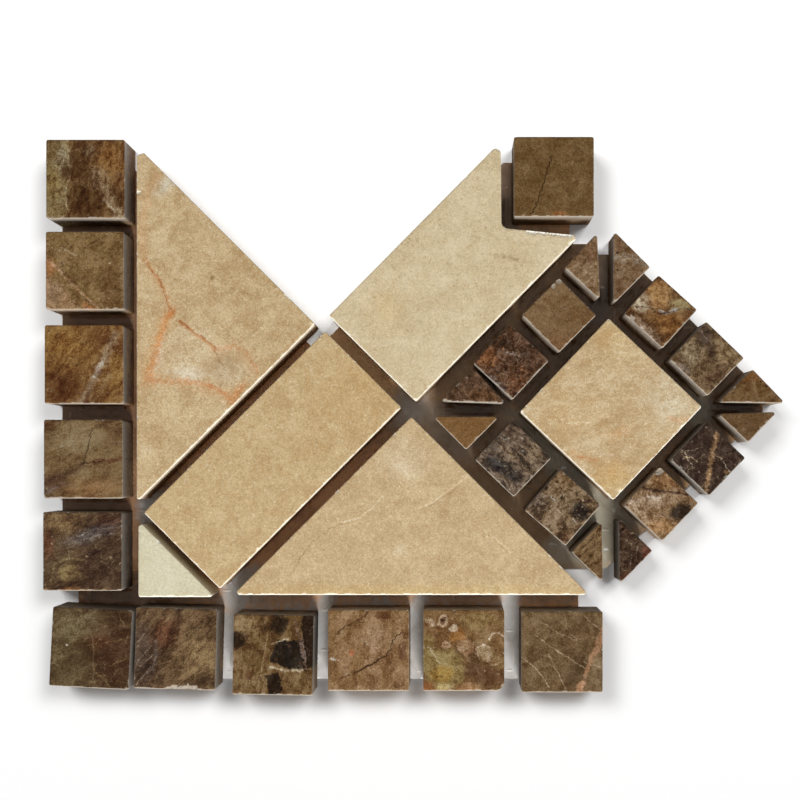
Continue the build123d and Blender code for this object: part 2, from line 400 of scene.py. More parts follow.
def vein(colour, *points, wide=0.14, soft=0.9, strength=0.5):
    """A band through two to four points."""
    ends = [points[0], points[min(1, len(points) - 1)], points[min(2, len(points) - 1)], points[-1]]
    first, second, third, last = [(x, y, 0.0) for x, y in ends]

    def mask(tree, spots):
        return place(tree, VEIN, Position=spots["fine"], Ragged=spots["ragged"], From=first, Second=second,
                     Third=third, To=last, Width=wide, Softness=soft)["Mask"]
    return tone(*colour), strength, mask


def patch(colour, middle, radii, turn=0.0, square=0.0, soft=0.9, strength=0.6):
    """A spot, turned by some degrees, round or more or less square."""
    def mask(tree, spots):
        return place(tree, PATCH, Position=spots["coarse"], Ragged=spots["ragged"], Middle=(*middle, 0.0),
                     Radii=(*radii, 1.0), Turn=math.radians(turn), Squareness=square, Softness=soft)["Mask"]
    return tone(*colour), strength, mask


def specks(colour, size, share, strength):
    """Crumbs of one size that take up a share of the stone."""
    def mask(tree, spots):
        return place(tree, SPECKS, Position=spots["fine"], Size=size, Share=share)["Mask"]
    return tone(*colour), strength, mask


def hairlines(colour, size, wide, share, strength):
    """Lines round fields of one size, of which a share is left."""
    def mask(tree, spots):
        return place(tree, HAIRLINES, Position=spots["fine"], Size=size, Width=wide, Share=share)["Mask"]
    return tone(*colour), strength, mask


# Colours that many of the markings share, as they look on a screen
BLACK = (36, 28, 22)
DARK = (62, 42, 28)
RED_BROWN = (88, 54, 32)
ORANGE = (150, 98, 58)
OLIVE = (122, 101, 66)
TAN = (140, 114, 78)
BEIGE = (165, 140, 110)
TAUPE = (142, 126, 108)
LILAC = (106, 94, 88)
PALE = (184, 162, 128)
WHITE = (214, 206, 192)
CREAM_PALE = (219, 200, 165)
CREAM_DEEP = (176, 145, 102)
RUST = (188, 122, 70)
GREY_GLUE = (192, 190, 186)
GREEN_GLUE = (166, 160, 142)
DARK_GLUE = (112, 84, 62)
PAINTED_GLUE_GLINT = (238, 237, 230)

# The two marbles: the colours of their sawn sides (also painted shade), dust (also painted light) and bruised
# arrises (also painted highlights), how strong and wide the bruises are, their crystals, the dust and painted
# light that reach the foot, how much the sides have of the sawn colour and its painted shade and how that
# turns with the way they face, the step of their meshes, and a web of fine lines
BROWN = SimpleNamespace(
    sawn_and_shade=tone(250, 242, 226), dust_and_light=tone(182, 177, 168), arris=tone(190, 181, 166),
    arris_cover=0.6, arris_width=1.0, crystal_size=0.3, sparkle=0.75,
    low_dust_and_light=0.15, saw_shade=1.0, saw_shade_turn=0.0, grid=0.46,
    web=[hairlines((58, 40, 26), 1.9, 0.09, 0.52, 0.5), hairlines((150, 126, 94), 2.7, 0.08, 0.5, 0.4)])
CREAM = SimpleNamespace(
    sawn_and_shade=tone(150, 112, 76), dust_and_light=tone(240, 234, 216), arris=tone(250, 246, 234),
    arris_cover=0.85, arris_width=1.1, crystal_size=0.34, sparkle=0.4,
    low_dust_and_light=0.0, saw_shade=0.55, saw_shade_turn=0.6, grid=0.62, web=[])


class Stone:
    """What one stone looks like: its bed from deep to light, its markings, and how its edges fared."""

    def __init__(self, deep, body, light, *marks, cream=False, cloud=5.0, clouds=0.7, mottle=0.7, grain=0.35,
                 streak=(0.0, 1.0), chips=(), cracks=(), pits=(), wear=1.0):
        self.bed = tone(*deep), tone(*body), tone(*light)
        self.marks = marks
        self.cream = cream
        self.marble = CREAM if cream else BROWN
        self.cloud, self.clouds, self.mottle, self.grain = cloud, clouds, mottle, grain
        self.streak = streak
        self.chips, self.cracks, self.pits = chips, cracks, pits
        self.wear = wear


BROWN_STONES = {
    "left_square_1": Stone(
        (70, 42, 20), (103, 73, 43), (132, 104, 68),
        patch((118, 96, 62), (-7.6, 0.0), (3.9, 14.0), soft=0.25, strength=0.75),
        patch((140, 124, 98), (-5.4, 4.4), (1.6, 2.8), soft=0.8, strength=0.55),
        patch((118, 92, 48), (-8.2, -1.0), (1.6, 3.0), soft=0.8, strength=0.5),
        patch((64, 38, 18), (0.2, -5.4), (4.0, 4.6), soft=0.5, strength=0.8),
        patch((72, 45, 24), (-0.9, 3.4), (2.8, 5.4), soft=0.6, strength=0.7),
        patch((112, 92, 70), (1.4, 6.8), (1.4, 1.2), strength=0.45),
        patch((128, 84, 42), (6.4, 4.8), (3.4, 3.6), soft=0.8),
        patch((92, 54, 28), (8.6, -0.4), (1.2, 2.2), soft=0.8, strength=0.5),
        vein((146, 122, 92), (2.6, 1.4), (5.2, -3.4), (8.3, -8.9), wide=1.3, soft=0.95, strength=0.65),
        vein((164, 144, 116), (4.4, -4.6), (6.0, -6.6), (7.4, -8.6), wide=0.3, soft=0.95, strength=0.45),
        vein((166, 142, 106), (-4.4, 9.4), (-3.6, 1.7), (-4.7, -2.6), (-4.5, -9.3), wide=0.2, soft=0.95,
             strength=0.4),
        specks(DARK, 0.9, 0.12, 0.5),
        cloud=4.0, mottle=0.9, streak=(1.4, 1.4)),
    "left_square_2": Stone(
        (96, 69, 39), (121, 95, 59), (142, 115, 78),
        patch((94, 66, 37), (6.6, -4.0), (2.4, 6.4), soft=0.8, strength=0.65),
        patch((132, 108, 78), (9.4, 0.0), (0.7, 9.0), soft=0.6),
        patch((150, 118, 84), (-8.8, -7.2), (10.2, 4.7), turn=-44.0, soft=0.12, strength=0.85),
        patch((164, 112, 70), (-8.8, 1.2), (1.4, 2.4), turn=30.0, soft=0.6, strength=0.7),
        patch((164, 110, 68), (1.0, -8.8), (2.0, 0.8), turn=-30.0, soft=0.7, strength=0.65),
        patch((132, 108, 84), (-7.4, -5.4), (1.8, 2.2), soft=0.8, strength=0.5),
        vein((176, 142, 108), (-9.3, 3.0), (-6.5, 0.4), (-4.5, -1.8), (3.2, -9.0), wide=0.3, soft=0.8,
             strength=0.65),
        vein(DARK, (-0.2, 5.4), (2.4, 6.9), (4.6, 8.3), wide=0.13, soft=0.6, strength=0.7),
        vein((184, 164, 132), (-5.4, 5.4), (-3.6, 4.5), (-2.1, 3.5), soft=0.6, strength=0.55),
        specks(DARK, 0.9, 0.08, 0.5), specks(PALE, 0.6, 0.015, 0.6),
        mottle=0.8),
    "left_square_3": Stone(
        (88, 53, 27), (118, 84, 47), (142, 110, 68),
        patch((144, 106, 56), (-5.0, 5.2), (5.0, 3.6), soft=0.8, strength=0.65),
        patch((76, 42, 22), (-5.4, -6.0), (5.4, 3.8), soft=0.6, strength=0.8),
        patch((100, 64, 35), (3.0, 6.6), (2.6, 2.6), soft=0.8),
        patch((138, 102, 54), (8.0, -1.0), (1.6, 4.0), soft=0.8, strength=0.55),
        vein((140, 118, 94), (7.4, 7.0), (5.4, 2.4), (3.4, -1.6), (0.0, -8.6), wide=0.85, strength=0.65),
        vein((182, 166, 146), (4.3, 0.4), (3.4, -1.2), (2.6, -2.8), wide=0.34, strength=0.65),
        vein((170, 146, 118), (7.6, 6.2), (8.0, 4.8), wide=0.3),
        vein(TAN, (2.2, -8.6), (4.0, -6.0), (6.4, -2.2), wide=0.5),
        specks(DARK, 0.9, 0.06, 0.5),
        cloud=4.0, streak=(0.9, 1.6)),
    "left_square_4": Stone(
        (82, 58, 36), (116, 92, 61), (132, 111, 80),
        patch((140, 120, 88), (-2.0, 5.0), (5.0, 2.6), strength=0.45),
        patch((80, 50, 30), (-8.6, 8.2), (2.0, 1.3), soft=0.6, strength=0.8),
        patch((82, 58, 44), (-8.2, -6.4), (4.4, 2.4), turn=14.0, soft=0.7, strength=0.8),
        vein((66, 42, 30), (0.0, -1.1), (-2.0, -2.6), (-4.7, -3.9), (-9.5, -5.6), wide=0.7, strength=0.8),
        vein((120, 106, 94), (-9.4, -8.6), (-7.4, -7.0), (-4.6, -6.0), wide=0.26, strength=0.6),
        vein((70, 48, 38), (-9.4, -7.8), (-6.6, -6.4), (-3.2, -5.6), wide=0.24, strength=0.7),
        patch((138, 98, 60), (2.6, -7.0), (6.4, 2.0), strength=0.5),
        vein((84, 48, 30), (2.6, -0.7), (4.4, -0.3), (5.6, -0.5), (9.2, 0.0), wide=0.55, soft=0.7,
             strength=0.9),
        vein((86, 60, 40), (-2.9, 8.4), (-3.2, 6.2), (-3.3, 4.6), strength=0.6),
        patch((90, 62, 40), (7.6, 5.6), (1.8, 3.0), strength=0.45),
        vein((152, 138, 112), (-5.4, 3.0), (-4.0, 3.8), wide=0.3),
        specks(DARK, 0.9, 0.05, 0.5),
        mottle=0.55, streak=(0.3, 1.8),
        cracks=[((2.2, 7.3), (1.9, 6.1), (1.0, 2.8), (0.0, -0.8)), ((0.0, -0.9), (2.5, -0.7), (4.8, -0.2))]),
    "left_square_5": Stone(
        (47, 32, 23), (74, 54, 38), (102, 82, 60),
        patch((122, 94, 64), (-5.0, 7.0), (4.6, 2.2), soft=0.8, strength=0.65),
        patch((60, 42, 32), (5.0, -3.6), (5.0, 6.4), soft=0.7, strength=0.65),
        patch((84, 48, 34), (-8.4, 2.0), (1.3, 3.2), soft=0.7, strength=0.7),
        patch((84, 50, 38), (6.4, 7.0), (2.6, 1.6), soft=0.8, strength=0.55),
        patch((98, 88, 84), (2.4, 4.2), (5.4, 1.4), turn=18.0),
        vein((140, 128, 118), (-1.4, 3.6), (2.6, 5.2), (7.4, 5.8), strength=0.6),
        vein((128, 116, 106), (0.4, 2.8), (3.6, 3.8), (7.6, 4.4), wide=0.12),
        patch((114, 92, 60), (-3.3, -5.0), (2.4, 2.3), soft=0.35, strength=0.75),
        patch((66, 46, 30), (-3.4, -5.0), (0.6, 0.4), soft=0.7),
        vein((118, 96, 66), (-7.8, -8.0), (-6.8, -3.0), (-3.0, -1.6), (1.0, -2.2), wide=0.24),
        patch((152, 104, 62), (-3.0, -9.3), (7.0, 0.5), soft=0.8, strength=0.5),
        specks(BEIGE, 0.6, 0.01, 0.45),
        cloud=4.0, mottle=0.6, streak=(0.4, 2.2)),
    "corner_square": Stone(
        (57, 39, 23), (77, 58, 38), (101, 83, 59),
        patch((100, 84, 58), (-5.4, 0.0), (4.8, 11.0), soft=0.5, strength=0.7),
        patch((66, 42, 28), (6.0, -1.4), (5.0, 9.0), soft=0.6, strength=0.75),
        patch((76, 46, 28), (1.4, 1.8), (3.4, 1.6), soft=0.8),
        patch((106, 90, 64), (-2.0, 7.6), (5.0, 1.6), strength=0.5),
        vein(OLIVE, (3.2, 1.2), (5.6, 1.8), (8.2, 2.2), wide=0.13, soft=0.6),
        vein(OLIVE, (4.4, -4.4), (6.6, -3.2), (9.2, -2.2), wide=0.13, soft=0.6),
        vein(OLIVE, (0.3, -4.7), (2.4, -7.0), (4.6, -9.2), soft=0.6, strength=0.55),
        vein((124, 102, 74), (0.3, 3.2), (0.6, -0.4), (0.8, -9.0), wide=0.16),
        patch(WHITE, (-5.7, 0.8), (0.25, 0.25), soft=0.5, strength=0.9),
        cloud=4.5, mottle=0.55, streak=(0.2, 1.6)),
    "bottom_square_1": Stone(
        (56, 39, 24), (92, 69, 48), (120, 96, 69),
        patch((70, 55, 48), (-7.6, -1.6), (3.4, 7.6), soft=0.5, strength=0.7),
        patch((84, 48, 33), (-2.4, 3.6), (2.8, 3.4), turn=-30.0, soft=0.7, strength=0.7),
        patch(TAN, (5.4, -2.0), (4.6, 6.0), strength=0.4),
        patch(DARK, (6.8, -7.6), (3.0, 1.7), soft=0.8, strength=0.55),
        vein(DARK, (4.0, 8.6), (6.4, 6.5), (9.2, 5.0), wide=0.12, soft=0.6, strength=0.7),
        vein(TAUPE, (-9.6, -3.6), (-8.0, -1.8), (-6.0, 0.6), wide=0.1, soft=0.6, strength=0.6),
        vein(TAUPE, (-9.4, -5.4), (-7.4, -3.4), (-5.4, -1.2), wide=0.1, soft=0.6, strength=0.6),
        vein(TAUPE, (-9.4, -8.4), (-7.6, -6.4), (-5.6, -4.0), wide=0.12, soft=0.6, strength=0.6),
        vein(TAUPE, (-9.7, 1.0), (-8.4, 2.6), (-7.2, 4.0), wide=0.09, soft=0.6),
        vein(LILAC, (-4.8, 1.6), (-4.6, -1.6), (-5.4, -5.0), wide=0.3),
        cloud=4.5, mottle=0.8, streak=(0.8, 1.8),
        chips=[(x * 0.9 - 1.8, -9.75, 0.75 + 0.2 * (x % 3), 0.8) for x in range(8)]),
    "bottom_square_2": Stone(
        (74, 50, 27), (101, 76, 46), (128, 104, 72),
        patch((32, 21, 13), (1.4, 7.4), (2.0, 2.2), turn=-25.0, square=0.7, soft=0.25, strength=0.92),
        patch((58, 38, 20), (-1.8, 6.6), (1.2, 1.4), turn=20.0, square=0.6, soft=0.3, strength=0.7),
        patch((32, 21, 13), (-8.8, 3.5), (1.9, 2.0), turn=35.0, square=0.6, soft=0.15, strength=0.93),
        patch((58, 38, 20), (-7.2, 4.6), (1.5, 0.9), turn=-30.0, square=0.5, soft=0.4),
        patch((32, 21, 13), (0.3, -7.1), (1.7, 2.6), turn=18.0, square=0.85, soft=0.1, strength=0.94),
        patch((84, 52, 28), (-5.9, -4.6), (0.6, 1.3), soft=0.3, strength=0.7),
        patch((32, 21, 13), (9.0, 3.4), (2.2, 6.6), square=0.9, soft=0.1, strength=0.92),
        patch((28, 20, 13), (2.6, 0.4), (2.7, 3.0), turn=-16.0, square=0.95, soft=0.04, strength=0.97),
        patch((28, 20, 13), (5.4, 0.0), (2.6, 3.4), turn=10.0, square=0.95, soft=0.04, strength=0.97),
        patch(TAN, (-6.4, 7.2), (2.8, 1.6), soft=0.8, strength=0.5),
        vein(PALE, (-0.1, 2.7), (1.4, 3.3), (3.6, 3.9), wide=0.18, soft=0.7, strength=0.7),
        vein(PALE, (-0.6, -2.9), (3.0, -3.8), (8.8, -3.4), wide=0.24, strength=0.6),
        vein((122, 100, 84), (5.4, 8.0), (6.4, 3.6), (8.0, -3.4), wide=0.3, soft=0.7, strength=0.75),
        vein((136, 112, 92), (6.9, 4.6), (7.4, 1.4), (8.0, -2.0), wide=0.12, soft=0.6, strength=0.7),
        vein(TAN, (-1.2, 5.4), (-2.2, 0.2), (-3.6, -7.8), soft=0.6, strength=0.6),
        vein(DARK, (-1.8, 4.4), (-2.4, 1.4), (-2.9, -1.0), wide=0.1, soft=0.6, strength=0.7),
        specks(DARK, 1.1, 0.12, 0.6),
        cloud=4.0, mottle=0.9, streak=(1.4, 1.6)),
    "bottom_square_3": Stone(
        (100, 69, 40), (131, 101, 67), (154, 125, 93),
        patch((150, 120, 90), (3.0, 0.8), (4.0, 4.6), strength=0.5),
        patch((88, 56, 32), (3.4, 8.5), (1.8, 1.0), square=0.5, soft=0.2, strength=0.85),
        patch((92, 62, 38), (8.3, -0.2), (1.1, 2.2), square=0.4, soft=0.25, strength=0.8),
        patch((94, 64, 40), (8.8, 3.6), (0.8, 1.2), soft=0.4, strength=0.7),
        patch((98, 64, 36), (4.8, -2.0), (0.8, 1.6), soft=0.5, strength=0.65),
        patch((100, 66, 38), (1.0, -7.4), (1.6, 1.9), soft=0.5, strength=0.65),
        patch((96, 62, 36), (7.2, -8.2), (1.2, 1.0), soft=0.5, strength=0.65),
        patch((116, 86, 50), (-2.0, -1.6), (2.2, 1.8), soft=0.7, strength=0.5),
        patch(WHITE, (-8.4, -2.0), (0.6, 0.4), soft=0.5, strength=0.7),
        patch((166, 92, 58), (-4.0, -0.6), (0.6, 0.8), soft=0.5, strength=0.65),
        vein((66, 38, 20), (-7.6, 4.0), (-6.1, 5.4), (-2.8, 7.1), (0.4, 9.2), wide=0.24, soft=0.7,
             strength=0.85),
        vein((66, 38, 20), (-7.2, -6.9), (-4.2, -5.8), (-0.4, -4.0), (2.4, -2.4), wide=0.26, soft=0.7,
             strength=0.85),
        specks(RED_BROWN, 1.0, 0.06, 0.6), specks(BEIGE, 0.8, 0.06, 0.5),
        cloud=4.0, mottle=0.55, streak=(1.5, 1.5),
        cracks=[((-2.8, -5.2), (1.6, -2.8), (4.9, -0.4), (5.9, 2.5), (7.6, 4.2))]),
    "bottom_square_4": Stone(
        (90, 62, 36), (119, 90, 56), (142, 115, 82),
        patch((104, 70, 40), (-4.8, 4.6), (3.8, 3.4), soft=0.8, strength=0.65),
        patch((134, 110, 66), (3.2, 7.2), (3.6, 2.0), soft=0.6),
        patch((130, 110, 64), (-8.6, -0.8), (1.8, 4.2), soft=0.5, strength=0.75),
        patch((132, 111, 68), (-4.8, -4.4), (4.8, 4.8), soft=0.15, strength=0.9),
        patch((136, 104, 48), (-5.2, -5.6), (2.9, 2.1), soft=0.3, strength=0.9),
        patch((74, 48, 30), (2.4, -3.8), (1.8, 3.0), turn=-25.0, soft=0.6, strength=0.8),
        patch((80, 50, 31), (5.8, -6.4), (3.8, 2.4), soft=0.5, strength=0.8),
        patch((152, 112, 74), (1.2, -9.0), (2.6, 1.0), soft=0.6, strength=0.7),
        patch((162, 108, 66), (-8.8, -8.6), (1.5, 1.2), soft=0.6, strength=0.75),
        patch((190, 168, 112), (-5.0, -8.9), (1.6, 0.8), soft=0.6, strength=0.75),
        patch((146, 102, 54), (-1.5, 3.6), (2.0, 2.0), soft=0.18, strength=0.8),
        patch((88, 62, 38), (0.4, 0.6), (2.7, 2.4), soft=0.25),
        patch((150, 118, 84), (0.5, 0.8), (2.1, 1.9), soft=0.1, strength=0.85),
        vein((206, 184, 152), (6.1, 2.6), (6.7, 4.0), (8.2, 4.3), (9.6, 3.4), wide=0.18, soft=0.8,
             strength=0.75),
        patch((112, 80, 52), (7.9, 2.7), (1.5, 1.1), turn=15.0, soft=0.3),
        vein((204, 182, 150), (3.4, -1.2), (3.2, 0.6), (4.6, 1.4), (6.4, 0.6), wide=0.2, soft=0.8,
             strength=0.75),
        patch((156, 132, 98), (5.0, -0.5), (1.7, 1.6), soft=0.3, strength=0.7),
        patch((112, 84, 54), (5.2, -0.4), (0.8, 0.7), soft=0.5, strength=0.5),
        patch((196, 170, 138), (-5.1, 7.2), (1.2, 1.2), soft=0.2, strength=0.8),
        patch((92, 58, 34), (-5.1, 7.3), (0.7, 0.7), soft=0.3, strength=0.9),
        patch((214, 196, 168), (-2.6, 5.3), (1.1, 0.7), turn=30.0, soft=0.5, strength=0.8),
        patch((198, 172, 140), (-7.9, 6.8), (1.2, 0.7), turn=-30.0, soft=0.6, strength=0.75),
        patch((190, 160, 126), (-4.3, 1.3), (1.0, 1.0), soft=0.2, strength=0.75),
        patch((118, 82, 54), (-4.3, 1.3), (0.5, 0.5), soft=0.4, strength=0.7),
        vein((182, 164, 130), (-8.6, 0.9), (-7.2, -0.8), (-6.0, -3.0), wide=0.16, soft=0.6, strength=0.6),
        vein(PALE, (5.6, -2.8), (7.2, -3.4), (9.0, -3.0), wide=0.16, soft=0.8, strength=0.55),
        specks(DARK, 0.9, 0.06, 0.5), specks(BEIGE, 0.7, 0.04, 0.5),
        cloud=3.0, mottle=0.4, grain=0.45, pits=[(-5.1, 7.3, 0.4, 0.35)]),
    "bottom_square_5": Stone(
        (80, 59, 36), (104, 82, 55), (122, 100, 72),
        patch((68, 49, 31), (3.6, -4.4), (2.6, 3.8), turn=-25.0, soft=0.7, strength=0.75),
        patch((90, 66, 42), (1.4, 2.6), (3.4, 3.2), strength=0.45),
        patch((122, 102, 74), (8.6, -5.4), (1.8, 3.8), soft=0.5, strength=0.55),
        patch((88, 64, 42), (5.4, 5.8), (3.0, 2.6), strength=0.4),
        vein(PALE, (-6.7, 4.3), (-3.0, 1.4), (1.4, -1.4), (5.3, -3.8), wide=0.1, strength=0.65),
        vein(PALE, (-9.7, -1.2), (-7.0, -3.4), (-4.6, -6.0), (-3.0, -8.6), wide=0.12, strength=0.65),
        vein(PALE, (-3.2, -0.4), (-1.4, -4.2), (0.0, -7.0), (1.0, -9.4), wide=0.1, strength=0.6),
        vein(PALE, (4.9, 9.0), (6.6, 7.4), (9.1, 5.3), wide=0.08, strength=0.55),
        vein(PALE, (0.5, 8.9), (1.2, 5.3), (3.6, 2.9), wide=0.08, strength=0.4),
        vein(PALE, (-5.2, 7.4), (-1.0, 4.6), (3.8, 2.6), wide=0.08, strength=0.45),
        vein(PALE, (5.0, -2.2), (7.0, -3.2), (9.6, -3.6), wide=0.08),
        patch((166, 128, 96), (8.8, 2.2), (4.4, 0.95), turn=70.0, square=0.3, soft=0.25, strength=0.75),
        patch((156, 118, 86), (6.6, -3.0), (3.6, 0.55), turn=68.0, soft=0.4, strength=0.85),
        patch((176, 132, 98), (4.5, -8.4), (1.6, 0.8), turn=64.0, square=0.4, soft=0.3, strength=0.8),
        hairlines(TAN, 2.6, 0.08, 0.5, 0.3),
        cloud=4.0, mottle=0.65),
    "inner_square": Stone(
        (92, 66, 36), (107, 81, 49), (121, 96, 63),
        patch(ORANGE, (1.2, -8.8), (1.6, 0.7), soft=0.5),
        hairlines((84, 58, 32), 3.4, 0.1, 0.5, 0.45),
        vein(TAN, (-8.8, 6.0), (-5.0, 6.8), (-1.0, 8.4), wide=0.1, soft=0.6, strength=0.4),
        vein(TAN, (1.4, 2.0), (4.4, -0.6), (8.6, -1.6), wide=0.1, soft=0.6, strength=0.4),
        cracks=[((-0.5, 5.0), (-2.1, -0.1), (-3.1, -3.5), (-4.3, -6.6), (-5.5, -8.9))]),
    "ring_triangle_1": Stone(
        (86, 58, 30), (104, 78, 49), (121, 96, 66),
        patch((128, 86, 48), (-0.4, 2.6), (2.6, 1.2), soft=0.8, strength=0.55),
        specks(DARK, 0.8, 0.12, 0.6),
        cloud=3.5, pits=[(2.0, 1.3, 0.3, 0.25)]),
    "ring_triangle_2": Stone(
        (94, 68, 43), (118, 92, 66), (137, 115, 89),
        vein(TAUPE, (-3.8, 2.2), (-1.0, 2.6), (2.6, 1.2), wide=0.8, strength=0.6),
        vein(PALE, (-2.8, 1.6), (0.0, 2.0), (2.4, 1.6), wide=0.12, soft=0.6, strength=0.4),
        patch(RED_BROWN, (-3.0, -5.4), (1.3, 2.0), soft=0.8, strength=0.55),
        patch(RED_BROWN, (-2.6, 4.8), (1.2, 1.6), soft=0.8, strength=0.5),
        specks(DARK, 0.8, 0.08, 0.5),
        cloud=3.5, pits=[(-3.4, 3.6, 0.4, 0.25), (-3.3, -0.6, 0.3, 0.2)]),
    "ring_triangle_3": Stone(
        (97, 68, 40), (121, 95, 68), (146, 121, 93),
        patch((148, 124, 96), (2.2, -3.6), (1.8, 3.2), strength=0.4),
        patch(RED_BROWN, (1.6, 3.2), (1.6, 2.4), strength=0.5),
        specks(DARK, 0.8, 0.12, 0.5), specks(BEIGE, 0.7, 0.03, 0.4),
        cloud=3.0, wear=1.3),
    "ring_triangle_4": Stone(
        (54, 36, 22), (86, 62, 44), (112, 86, 67),
        patch((120, 82, 48), (2.6, -2.2), (3.0, 1.2), strength=0.4),
        patch(TAUPE, (-1.7, 2.6), (0.5, 0.4), soft=0.6),
        specks(BLACK, 0.8, 0.15, 0.6),
        cloud=3.0, mottle=0.9, wear=1.2, chips=[(-6.6, -3.4, 0.6, 0.4)]),
    "ring_triangle_5": Stone(
        (111, 78, 43), (120, 88, 53), (132, 100, 65),
        vein((132, 92, 54), (-2.0, 0.6), (0.6, 2.0), (2.4, 3.2), wide=0.3, strength=0.4),
        cloud=4.0, mottle=0.5, grain=0.3),
    "ring_triangle_6": Stone(
        (68, 46, 25), (107, 82, 53), (132, 107, 77),
        vein(DARK, (-1.0, 1.2), (1.0, 3.2), (2.8, 5.6), wide=0.25),
        vein(DARK, (-2.2, -1.2), (0.4, 0.6), (2.6, 2.0), wide=0.2, strength=0.45),
        specks(DARK, 0.8, 0.12, 0.55),
        cloud=3.0, mottle=0.9, streak=(1.0, 2.0)),
    "ring_triangle_7": Stone(
        (38, 24, 16), (60, 42, 30), (88, 69, 54),
        patch((96, 52, 40), (3.0, -0.8), (1.2, 2.6), soft=0.8, strength=0.55),
        patch((92, 54, 36), (-2.2, -6.2), (1.6, 1.2), soft=0.8, strength=0.5),
        vein(TAUPE, (-0.8, -1.0), (-1.2, -3.4), wide=0.1, soft=0.6),
        vein(TAUPE, (0.6, 1.0), (0.2, -1.6), wide=0.1, soft=0.6, strength=0.4),
        hairlines((112, 92, 76), 1.6, 0.07, 0.5, 0.45),
        cloud=3.0, mottle=0.8, pits=[(-3.0, 5.4, 0.42, 0.5)]),
    "ring_triangle_8": Stone(
        (90, 66, 40), (100, 76, 50), (112, 90, 65),
        specks(DARK, 0.8, 0.06, 0.5),
        cloud=3.0, mottle=0.6, wear=1.2),
    "ring_square_1": Stone(
        (78, 58, 38), (111, 89, 63), (138, 116, 88),
        patch((140, 122, 96), (-3.6, 1.2), (2.8, 2.2), turn=45.0, soft=0.8),
        patch((132, 108, 76), (4.6, 1.2), (2.2, 2.4), soft=0.8, strength=0.5),
        patch((54, 40, 32), (-0.6, 5.6), (1.8, 2.7), turn=-10.0, soft=0.5, strength=0.85),
        patch((60, 44, 34), (1.0, 1.9), (1.0, 2.3), turn=15.0, soft=0.6, strength=0.75),
        patch((80, 56, 40), (2.6, -3.4), (2.6, 1.6), turn=30.0, soft=0.7, strength=0.65),
        patch((80, 56, 40), (0.2, -5.6), (1.3, 1.4), soft=0.8, strength=0.5),
        patch(LILAC, (-5.2, -2.2), (1.8, 0.9), turn=-40.0, soft=0.7, strength=0.5),
        vein((128, 108, 96), (-1.6, 7.2), (-0.8, 5.6), (0.2, 4.4)),
        specks(DARK, 0.8, 0.1, 0.5),
        cloud=2.4, clouds=0.9, mottle=0.9),
    "ring_square_2": Stone(
        (66, 42, 22), (100, 69, 41), (130, 100, 66),
        patch((132, 88, 46), (2.6, -3.4), (4.8, 2.6), turn=-35.0, soft=0.6),
        patch((132, 112, 76), (5.0, 1.8), (2.6, 1.3), soft=0.6),
        patch((166, 144, 116), (-4.4, 2.2), (2.5, 2.2), turn=40.0, soft=0.25, strength=0.8),
        patch((136, 96, 58), (-0.6, 4.2), (3.0, 3.2), square=0.3, soft=0.2, strength=0.8),
        vein((84, 58, 36), (1.9, 5.6), (2.2, 3.2), (1.4, 1.6), soft=0.6, strength=0.7),
        vein((176, 150, 126), (-6.0, -1.6), (-3.6, -4.2), (-1.2, -6.4), wide=0.9, soft=0.8, strength=0.6),
        vein((164, 152, 138), (-0.2, 0.2), (1.6, -0.4), (3.6, 0.6), wide=0.36, soft=0.7, strength=0.75),
        vein(DARK, (-6.1, 1.3), (-2.7, 1.0), (-0.4, -0.5), (3.0, 0.0), wide=0.22, soft=0.6, strength=0.85),
        vein(DARK, (3.0, 0.0), (5.0, 0.9), (7.4, 0.6), wide=0.16, soft=0.7, strength=0.6),
        vein(DARK, (2.6, 5.0), (3.4, 3.6), wide=0.2, soft=0.6, strength=0.6),
        vein((96, 62, 34), (1.8, -2.6), (3.4, -2.4), wide=0.25, soft=0.8, strength=0.6),
        cloud=3.5, wear=1.2, chips=[(-6.9, -1.6, 0.7, 0.4), (-4.4, -4.1, 0.6, 0.4), (-2.4, -6.3, 0.6, 0.3)]),
    "ring_square_3": Stone(
        (103, 73, 43), (118, 92, 63), (131, 105, 75),
        patch((104, 66, 40), (0.2, -6.6), (2.6, 2.0), strength=0.5),
        hairlines((90, 64, 40), 2.2, 0.08, 0.45, 0.4),
        vein(TAUPE, (0.4, 2.2), (2.2, 1.2)),
        mottle=0.6, wear=1.2, chips=[(0.0, 8.5, 1.0, 0.4), (-1.4, 7.1, 0.6, 0.3)]),
    "ring_square_4": Stone(
        (52, 30, 16), (84, 58, 40), (114, 88, 70),
        patch((122, 74, 40), (-6.0, 1.2), (2.4, 2.0), soft=0.8),
        patch((108, 68, 42), (1.0, -5.2), (2.4, 2.2), strength=0.45),
        patch(BLACK, (-1.6, 4.4), (2.0, 1.6)),
        patch(BLACK, (2.8, 1.8), (1.8, 1.4), strength=0.5),
        vein((142, 122, 108), (-1.0, 2.2), (0.8, 2.0), (1.7, -0.2), soft=0.8, strength=0.6),
        vein((118, 106, 98), (-5.0, -3.4), (-3.4, -5.0), (-1.6, -6.6), wide=0.5),
        vein(TAUPE, (0.4, 2.4), (2.2, 1.0), wide=0.12, soft=0.6),
        specks(BLACK, 0.9, 0.2, 0.6), specks(ORANGE, 0.8, 0.06, 0.5),
        cloud=3.0, mottle=1.0, wear=1.2),
    "ring_square_5": Stone(
        (54, 44, 36), (102, 84, 68), (134, 117, 100),
        patch((116, 94, 70), (5.4, 1.6), (2.6, 3.0), soft=0.8),
        patch((84, 62, 48), (0.2, 6.4), (2.4, 2.0), strength=0.55),
        patch((60, 52, 46), (-5.4, 3.2), (1.6, 1.4), soft=0.8),
        patch((44, 41, 40), (-3.8, -1.3), (2.9, 1.7), turn=-30.0, soft=0.5, strength=0.85),
        patch((46, 42, 40), (-0.2, -4.0), (2.2, 1.4), turn=-35.0, soft=0.6, strength=0.8),
        vein((130, 106, 78), (-2.2, 2.6), (1.6, -0.4), (4.2, -3.2), wide=0.7),
